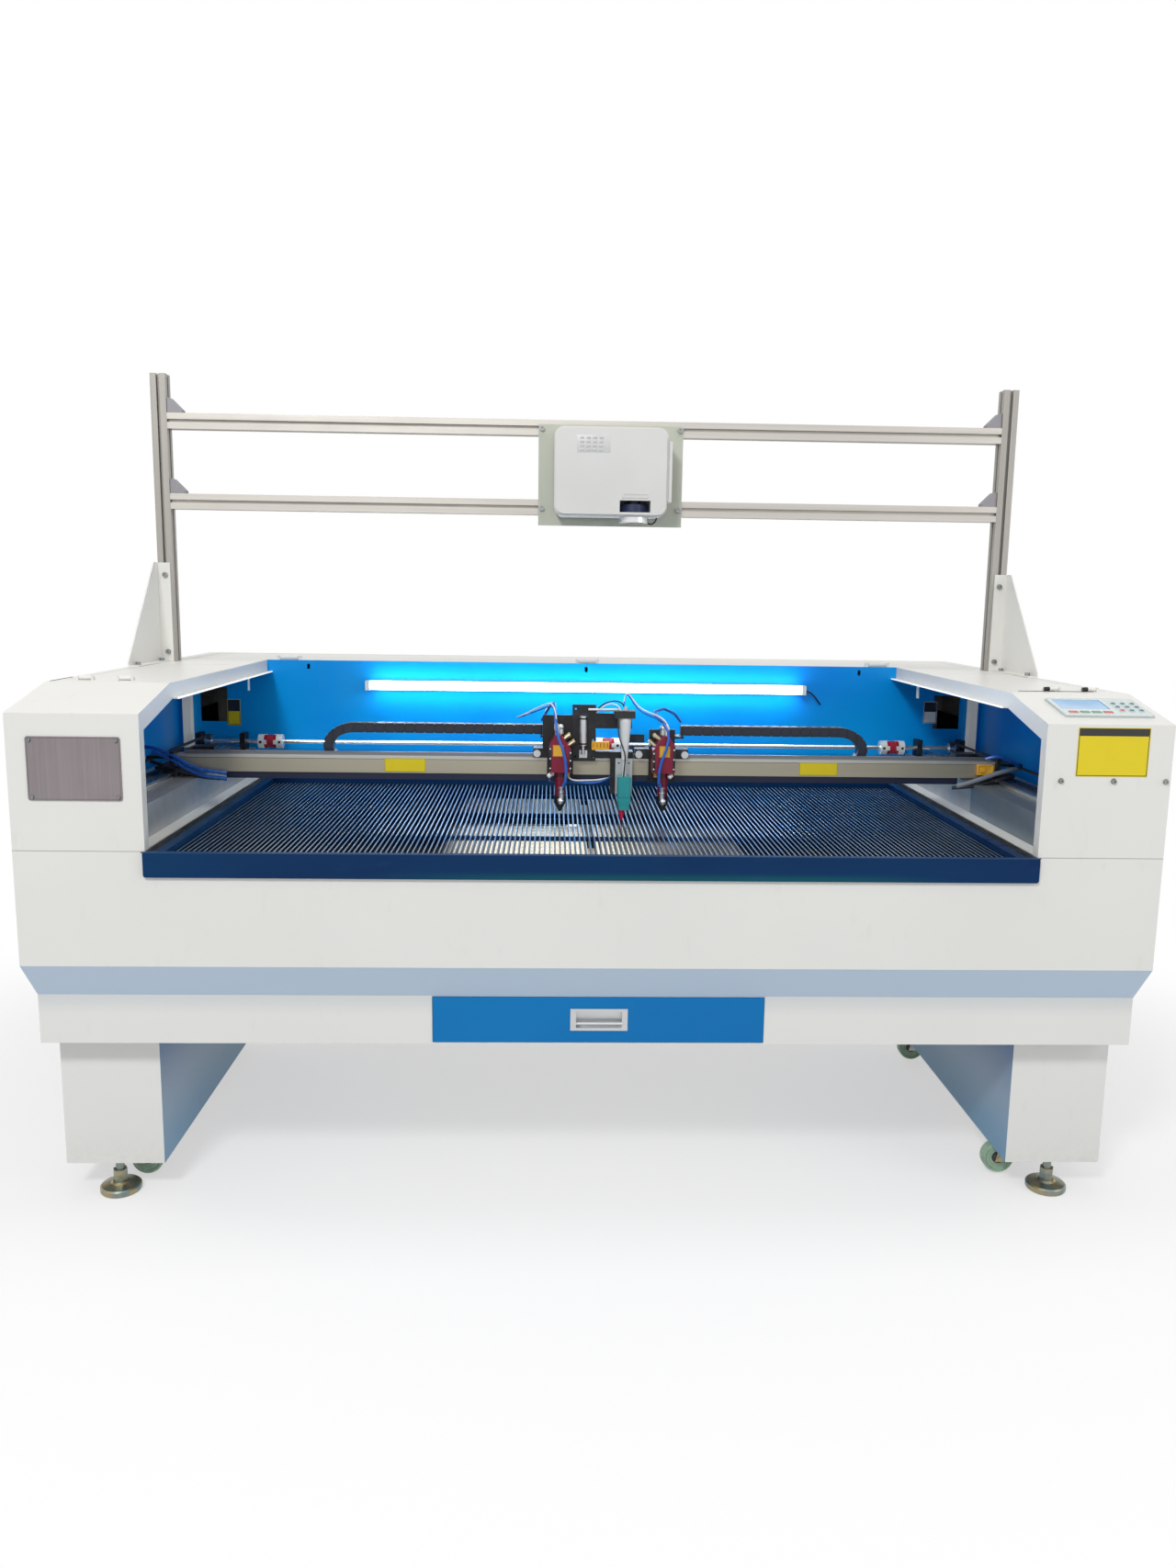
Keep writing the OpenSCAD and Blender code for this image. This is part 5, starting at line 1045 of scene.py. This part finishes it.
class LASER_OT_add_panel_keys(bpy.types.Operator):
    """Adds the keys and the screen glass of the operator panel."""
    bl_idname = "laser.add_panel_keys"
    bl_label = "Add Panel Keys"

    def execute(self, context):
        s = sizes()
        low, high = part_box("control_panel")
        lean = atan2(0.045, PANEL_RUN)
        base = Vector(((low + high).x / 2, FRONT + 0.1 * cos(lean), PANEL_FOOT + 0.1 * sin(lean)))
        lay = Matrix.Translation(base) @ Matrix.Rotation(lean, 4, "X")
        groups = {"red": [], "green": [], "pale": []}
        for i, hue in enumerate(("red", "green", "green", "red")):
            x = -0.092 + 0.015 + i * 0.024
            groups[hue].append(block("key", (x, -0.041, 0.0048), (x + s.key_w, -0.031, 0.0062), 0.0006, 3))
        r = s.round_key / MM / 2
        for i in range(3):
            for j in range(3):
                key = turned(((r, 5.5), (r, 6.2), (r - 0.6, 6.8), (r / 2, 7.2)), 20)
                place = Matrix.Translation((0.038 + i * 0.020, -0.024 + j * 0.022, 0))
                groups["pale" if i or j else "red"].append(moved(key, place))
        for hue, rgb in (("red", (222, 96, 100)), ("green", (110, 160, 132)), ("pale", (98, 118, 130))):
            fit(moved(joined("panel_keys_" + hue, groups[hue]), lay), "frame",
                moulded("key_" + hue, tint(*rgb), 0.36, 500.0, 0.0, 0.05))
        glass = block("screen_glass", (-0.081, -0.0125, 0.0031), (0.017, 0.0455, 0.0038), 0.0003, 1,
                      ((0, 0, 1), 0.003, -0.0002))
        p, x, y, z = begin("screen_glass_blue", 104, 160, 204)
        haze = p.film(16.0, 0.3, 0.7, 3.0)
        p.lay(haze * 0.5, 150, 196, 224)
        p.lay(z.turns(0.0022).between(0.0, 0.25) * 0.12, 60, 96, 170)
        blue = p.shader(Roughness=0.12 + haze * 0.06, Coat_Weight=0.5,
                        Emission_Color=p.base, Emission_Strength=0.18)
        fit(moved(glass, lay), "frame", blue)
        return {"FINISHED"}


class LASER_OT_add_head_fittings(bpy.types.Operator):
    """Adds the clamp strips, knobs, sleeves and tags of the cutting heads."""
    bl_idname = "laser.add_head_fittings"
    bl_label = "Add Head Fittings"

    def execute(self, context):
        strip_w = sizes().strip_w
        black = moulded("strip_black", tint(22, 23, 28), 0.4, 500.0, 0.3, 0.1)
        bright = brushed("fitting_bright", tint(206, 208, 210), (1.0, 1.0, 0.2), 0.18, 1.0, 0.06, 120.0)
        white = moulded("fitting_white", tint(236, 238, 238), 0.32, 500.0, 0.0, 0.05)
        for side, place, hand in (("left", HEAD_LEFT, 1), ("right", HEAD_RIGHT, -1)):
            def at(dx, dy, h):
                return Vector((place.x + hand * dx, place.y + dy, place.z + h))

            def part(rings, where, towards, sides):
                return stood(turned(rings, sides), at(*where), towards)

            body = "head_" + side
            strips, dots = [], []
            for edge, low_h, high_h in ((-0.026, 0.1, 0.158), (0.0212, 0.1, 0.149)):
                a, b = at(edge - 0.0006, -0.0274, low_h), at(edge + strip_w, -0.0258, high_h)
                strips.append(block("strip", (min(a.x, b.x), a.y, a.z), (max(a.x, b.x), b.y, b.z), 0.0006))
                for h in (low_h + 0.006, (low_h + high_h) / 2, high_h - 0.006):
                    dots.append(part(((1.9, 0), (1.9, 0.8), (1.3, 1.6)),
                                     (edge + strip_w / 2, -0.0273, h), (0, -1, 0), 14))
            fit(joined("clamp_strips_" + side, strips), body, black)
            fit(joined("strip_screws_" + side, dots), body, white)
            knob = part(((7.5, 0), (8.2, 1), (8.2, 6), (7, 8.5), (4.5, 10.5), (1.6, 11.2)),
                        (0, 0.002, 0.1965), (0, 0, 1), 28)
            sleeve = part(((5.8, 0), (6.6, 1), (6.6, 4), (5.6, 4.8), (5.6, 12), (6.4, 13), (6.4, 15),
                           (4.4, 16.5)), (0.003, -0.028, 0.0475), (0, -0.08, 1), 24)
            ball = part(((2.2, -7.8), (5.5, -6.2), (7.6, -2.8), (7.9, 0), (7.6, 2.8), (5.5, 6.2),
                         (2.2, 7.8)), (0.0015, -0.035, 0.03), (0, -1, 0.2), 24)
            fit(joined("bright_fittings_" + side, [knob, sleeve, ball]), body, bright, 40)
            cuff = part(((5.2, 0), (5.8, 1), (5.8, 9), (4.8, 11), (4.8, 16), (3.4, 17)),
                        (-0.008, -0.009, 0.193), (-0.15, 0, 1), 22)
            nose = part(((4.6, 0), (5.2, 0.8), (5.2, 9), (4.2, 10.5)),
                        (-0.021, -0.012, 0.0905), (-0.75, -0.4, -0.6), 20)
            fit(joined("white_fittings_" + side, [cuff, nose]), body, white, 40)
            caps = [part(((4.8, 0), (4.8, 1.2), (4.2, 1.8), (4.2, 3.2), (2.6, 4)),
                         (0.026 - 0.024 * k + 0.0113, dy, 0.184 - 0.034 * (1 - k) + 0.0079),
                         (hand * MIRROR_X, 0, MIRROR_Z), 20) for k in (0.28, 0.72) for dy in (-0.014, 0.012)]
            brass = brushed("brass_knurl_" + side, tint(204, 188, 150), (1.0, 1.0, 0.3), 0.22, 1.0, 0.1,
                            200.0)
            fit(joined("mirror_knobs_" + side, caps), body, brass, 40)
        for side, place, tag in (("left", HEAD_LEFT, -17.5), ("right", HEAD_RIGHT, -11)):
            low, high = (place + Vector(corner) * MM
                         for corner in ((tag, -26.55, 134.0), (tag + 25, -26.1, 161.0)))
            fit(block("head_tag_" + side, low, high, 0.0001, 1), "head_" + side,
                plate_vinyl("head_tag_vinyl_" + side, (low, high), tint(238, 178, 40)))
        return {"FINISHED"}


class LASER_OT_add_hoses(bpy.types.Operator):
    """Adds the small hoses of the heads and the cables at the beam's ends."""
    bl_idname = "laser.add_hoses"
    bl_label = "Add Hoses"

    def execute(self, context):
        d = sizes().hose_d
        cable = sizes().cable_d
        milky = moulded("hose_milky", tint(222, 228, 230), 0.25, 300.0, 0.0, 0.05)
        blue = moulded("hose_blue", colours().air_hose, 0.26, 300.0, 0.0, 0.06)
        grey = moulded("sheath_grey", tint(126, 132, 142), 0.44, 200.0, 0.0, 0.15)
        dark = moulded("cable_black", tint(24, 26, 34), 0.36, 300.0, 0.0, 0.1)
        hl, hr, m, ends = HEAD_LEFT, HEAD_RIGHT, MARKER, spot(0, 0, 0)

        def run(base, points):
            return [base + Vector(p) * MM for p in points]

        riders = ("head_right", "chain_right", "gantry", "chain_left", "head_left", "marker")
        route = ((9, -9, 205), (4, -8, 220), (-8, -6, 227), (-20, -4, 232), (-27, -3, 234), (-35, -2, 237),
                 (-42, -1, 240), (-46, 0, 242), (-50, 1, 244), (-53, 1, 246), (-56, 1, 248), (-59, 2, 250),
                 (-61, 2, 252), (-69, 3, 261), (-77, 4, 272), (-84, 4, 281), (-92, 4, 280), (-94, 2, 262))
        for name, rise, finish in (("milky", 0, milky), ("blue", -7, blue)):
            points = [(-9, -9, 205), (-11, -7, 236), (-19, 0, 259 + rise), (-36, 20, 252 + rise),
                      (-60, 50, 238 + rise), (-84, 84, 222 + rise / 2), (-104, 104, 211)]
            fit(hose(name + "_hose_left", run(hl, points), d * 0.6), "head_left", finish)
            for i, (near, far) in enumerate(zip(riders, riders[1:])):
                points = route[3 * i:3 * i + (4 if far != "marker" else 6)]
                bend = [(x, y, z + rise * (z > 210 and z < 275)) for x, y, z in points]
                link = hose(f"{name}_link_{i + 1}", run(hr, bend), d * 0.6)
                fit(link, None, finish)
                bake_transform(link)
        runs = (
            ("blue_loop_left", "head_left", blue, hl, d * 0.8,
             [(-22, -16, 86), (-28, -10, 76), (-20, 8, 68), (4, 20, 66), (26, 14, 68), (50, 4, 68),
              (78, 4, 66), (104, 14, 70), (122, 34, 78)]),
            ("milky_loop_left", "head_left", milky, hl, d * 0.7,
             [(20, -12, 84), (24, -10, 77), (38, 0, 73), (62, 8, 73), (90, 14, 72), (118, 30, 76)]),
            ("valve_cable_dark", "head_left", dark, m, d * 0.6,
             [(2, 0, 258), (4, 0, 272), (-6, 6, 284), (-30, 16, 284), (-56, 26, 270), (-66, 34, 250)]),
            ("valve_hose_milky", "head_left", milky, m, d * 0.6,
             [(-6, 0, 258), (-8, 2, 270), (-20, 8, 278), (-40, 20, 276), (-60, 30, 258), (-70, 40, 240)]),
            ("valve_lead_dark", "marker", dark, m, d * 0.55,
             [(-12, -16, 246), (-13, -19, 228), (-11, -19, 204), (-4, -18, 184), (4, -17, 166),
              (6, -16, 148), (4, -12, 128), (3, -8, 106)]),
            ("sheath_right", "gantry", grey, ends, cable * 1.3,
             [(890, 491, 850), (918, 488, 858), (955, 486, 872), (990, 486, 886), (1024, 492, 892),
              (1046, 504, 892)]),
            ("cable_right", "gantry", dark, ends, cable,
             [(880, 493, 846), (930, 484, 850), (968, 482, 862), (1004, 484, 872), (1030, 492, 876)]),
            ("air_hose_right", "gantry", blue, ends, cable,
             [(960, 500, 916), (982, 492, 926), (1010, 488, 922), (1030, 490, 908), (1044, 500, 896)]),
            ("air_hose_left_low", "gantry", blue, ends, cable,
             [(-862, 492, 852), (-890, 486, 856), (-930, 486, 862), (-962, 488, 880), (-996, 492, 902),
              (-1038, 500, 914)]),
            ("air_hose_left", "gantry", blue, ends, cable,
             [(-862, 491, 866), (-890, 486, 870), (-930, 486, 874), (-962, 488, 892), (-996, 492, 914),
              (-1038, 500, 926), (-1060, 512, 924)]),
            ("cable_left", "gantry", dark, ends, cable,
             [(-880, 496, 852), (-920, 488, 856), (-960, 486, 866), (-1004, 490, 884), (-1044, 504, 890)]))
        for name, body, finish, base, width, points in runs:
            fit(hose(name, run(base, points), width), body, finish)
        return {"FINISHED"}


class LASER_OT_add_beam_fittings(bpy.types.Operator):
    """Adds the connector and the chain clamps of the beam."""
    bl_idname = "laser.add_beam_fittings"
    bl_label = "Add Beam Fittings"

    def execute(self, context):
        amber = moulded("connector_amber", tint(232, 176, 44), 0.34, 500.0, 0.0, 0.05)
        bright = brushed("clamp_bright", tint(206, 208, 210), (1.0, 0.1, 1.0), 0.25, 1.0, 0.06, 120.0)
        plug = block("connector", spot(939, 489, 878), spot(978, 499.6, 903), 0.001, 2,
                     ((0, -1, 0), 0.003, -0.002))
        nib = block("connector_nib", spot(945, 486.6, 884), spot(958, 491, 897), 0.0006, 2)
        fit(joined("beam_connector", [plug, nib]), "gantry", amber)
        for side in ("left", "right"):
            low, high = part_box("chain_lower_" + side)
            x = high.x - 0.03 if side == "left" else low.x + 0.004
            clip = block("chain_clip_" + side, (x, low.y - 0.0028, low.z - 0.0016),
                         (x + 0.026, low.y - 0.0006, high.z - 0.004), rim=((0, -1, 0), 0.003, -0.0006))
            fit(clip, "gantry", bright)
        return {"FINISHED"}


class LASER_OT_add_projector_trim(bpy.types.Operator):
    """Adds the keypad, the slider and the lead of the projector."""
    bl_idname = "laser.add_projector_trim"
    bl_label = "Add Projector Trim"

    def execute(self, context):
        front = CASE[0].y
        pale = moulded("keypad_pale", tint(212, 213, 211), 0.4, 700.0, 0.0, 0.05)
        grey = moulded("keypad_keys", tint(196, 197, 196), 0.36, 700.0, 0.0, 0.05)
        dark = moulded("projector_lead", tint(24, 26, 34), 0.4, 300.0, 0.0, 0.1)
        mid_x, mid_z = 0.010, 1.678
        fit(block("projector_keypad", (mid_x - 0.043, front - 0.0004, mid_z - 0.022),
                  (mid_x + 0.043, front + 0.0012, mid_z + 0.022)), "frame", pale)
        keys = []
        for i in range(4):
            for j in range(4):
                x, z = mid_x - 0.030 + i * 0.0165, mid_z - 0.0155 + j * 0.0103
                keys.append(block("key", (x - 0.0055, front - 0.0012, z - 0.003),
                                  (x + 0.0055, front + 0.0006, z + 0.003), 0.0008))
        fit(joined("projector_keys", keys), "frame", grey)
        ring_x, low = RING_MIDDLE.x, CASE[0].z
        fit(block("projector_slider", (ring_x - 0.034, front - 0.0008, low + 0.060),
                  (ring_x + 0.034, front + 0.0006, low + 0.072), 0.0012, 3, ((0, -1, 0), 0.002, -0.0005)),
            "frame", pale)
        start = Vector((ring_x, front, low))
        lead = hose("projector_lead", [start + Vector(place) * MM for place in (
            (30, 62, 18), (34, 60, 6), (40, 58, -4), (54, 60, -2), (62, 64, 10), (64, 70, 24))], 0.0045)
        fit(lead, "frame", dark)
        return {"FINISHED"}


class LASER_OT_set_stage(bpy.types.Operator):
    """Sets the floor, the soft lamps, the surroundings and the camera."""
    bl_idname = "laser.set_stage"
    bl_label = "Set Stage"

    def execute(self, context):
        stage = context.scene.laser_stage
        fresh()
        bpy.ops.mesh.primitive_plane_add(size=16, location=(0, 2.5, -0.0005))
        floor = context.object
        floor.name = "floor"
        settle(floor)
        p = Paint("floor_white", 222, 225, 230)
        seen = p.node("ShaderNodeLightPath")
        glossy = Wire(p, seen.socket.node.outputs[3])
        p.lay(seen.most(glossy), 255, 255, 255)
        x, y, z = p.place()
        away = ((x * x) * 0.6 + (y * y)) ** 0.5
        matt = p.node("ShaderNodeBsdfPrincipled", None,
                      {"Base Color": p.base, "Roughness": 0.8 + p.noise(3.0) * 0.1})
        bare = p.node("ShaderNodeEmission", None, {"Color": (1, 1, 1), "Strength": 1.0})
        far = p.node("ShaderNodeMixShader", None,
                     {0: seen.most(glossy) * (0.5 + 0.5 * away.ramp(1.0, 2.0)), 1: matt, 2: bare})
        p.output(far)
        floor.data.materials.append(p.material)
        for name, place, height, size, watts in (
                ("key_lamp", (-1.5, -4.3, 4.1), 0.8, (1.0, 0.7), stage.key_power),
                ("fill_lamp", (3.6, -2.6, 2.2), 0.8, (2.0, 2.0), stage.fill_power),
                ("top_lamp", (0.0, -0.4, 4.2), 0.7, (3.2, 1.2), stage.top_power)):
            bpy.ops.object.light_add(type="AREA", location=place)
            lamp = context.object
            lamp.name = name
            lamp.data.shape, (lamp.data.size, lamp.data.size_y) = "RECTANGLE", size
            lamp.data.energy = watts
            ray = Vector((0, 0, height)) - Vector(place)
            lamp.rotation_euler = ray.to_track_quat("-Z", "Y").to_euler()
        world = context.scene.world = bpy.data.worlds.new("studio")
        world.use_nodes = True
        tree = world.node_tree
        sky = Paint("studio", tree=tree)
        path = sky.node("ShaderNodeLightPath").socket.node
        direct, glossy, through = (Wire(sky, path.outputs[f"Is {kind} Ray"])
                                   for kind in ("Camera", "Glossy", "Transmission"))
        shown = direct.most(glossy).most(through)
        soft = sky.node("ShaderNodeBackground", None,
                        {"Color": (1, 1, 1), "Strength": shown * (1.0 - stage.ambient) + stage.ambient})
        out = tree.nodes.new("ShaderNodeOutputWorld")
        tree.links.new(soft.socket, out.inputs["Surface"])
        yaw, pitch, roll = CAMERA_TURN
        turn = (Matrix.Rotation(-yaw, 4, "Z") @ Matrix.Rotation(pi / 2 - pitch, 4, "X")
                @ Matrix.Rotation(roll, 4, "Z"))
        bpy.ops.object.camera_add()
        camera = context.object
        camera.name = "front_camera"
        camera.matrix_world = Matrix.Translation(CAMERA_PLACE) @ turn
        camera.data.sensor_fit, camera.data.sensor_width = "AUTO", SENSOR
        camera.data.lens = FOCAL_SHARE * SENSOR
        camera.data.clip_end = 60.0
        context.scene.camera = camera
        context.scene.view_settings.view_transform = "Standard"
        return {"FINISHED"}


STEPS = (LASER_OT_coat_cabinet, LASER_OT_coat_panels, LASER_OT_finish_bed, LASER_OT_finish_drive,
         LASER_OT_finish_gantry, LASER_OT_finish_heads, LASER_OT_finish_projector_frame,
         LASER_OT_finish_feet, LASER_OT_finish_controls, LASER_OT_add_plates,
         LASER_OT_add_hinge_recesses, LASER_OT_add_panel_keys, LASER_OT_add_head_fittings,
         LASER_OT_add_hoses, LASER_OT_add_beam_fittings, LASER_OT_add_projector_trim,
         LASER_OT_set_stage)


class LASER_PT_machine(bpy.types.Panel):
    """Sizes, colours and steps of the laser cutting machine."""
    bl_idname = "LASER_PT_machine"
    bl_label = "Laser Machine"
    bl_space_type = "VIEW_3D"
    bl_region_type = "UI"
    bl_category = "Laser Machine"

    def draw(self, context):
        for group in (context.scene.laser_sizes, context.scene.laser_colours,
                      context.scene.laser_stage):
            box = self.layout.box()
            for key in group.__annotations__:
                box.prop(group, key)
        column = self.layout.column(align=True)
        for step in STEPS:
            column.operator(step.bl_idname)


CLASSES = (LaserColours, LaserSizes, LaserStage, *STEPS, LASER_PT_machine)


def register():
    for kind in CLASSES:
        bpy.utils.register_class(kind)
    bpy.types.Scene.laser_colours = bpy.props.PointerProperty(type=LaserColours)
    bpy.types.Scene.laser_sizes = bpy.props.PointerProperty(type=LaserSizes)
    bpy.types.Scene.laser_stage = bpy.props.PointerProperty(type=LaserStage)


def unregister():
    del bpy.types.Scene.laser_stage, bpy.types.Scene.laser_sizes, bpy.types.Scene.laser_colours
    for kind in reversed(CLASSES):
        bpy.utils.unregister_class(kind)


def main():
    register()
    for step in STEPS:
        group, name = step.bl_idname.split(".")
        getattr(getattr(bpy.ops, group), name)()
    fresh()


if __name__ == "__main__":
    main()
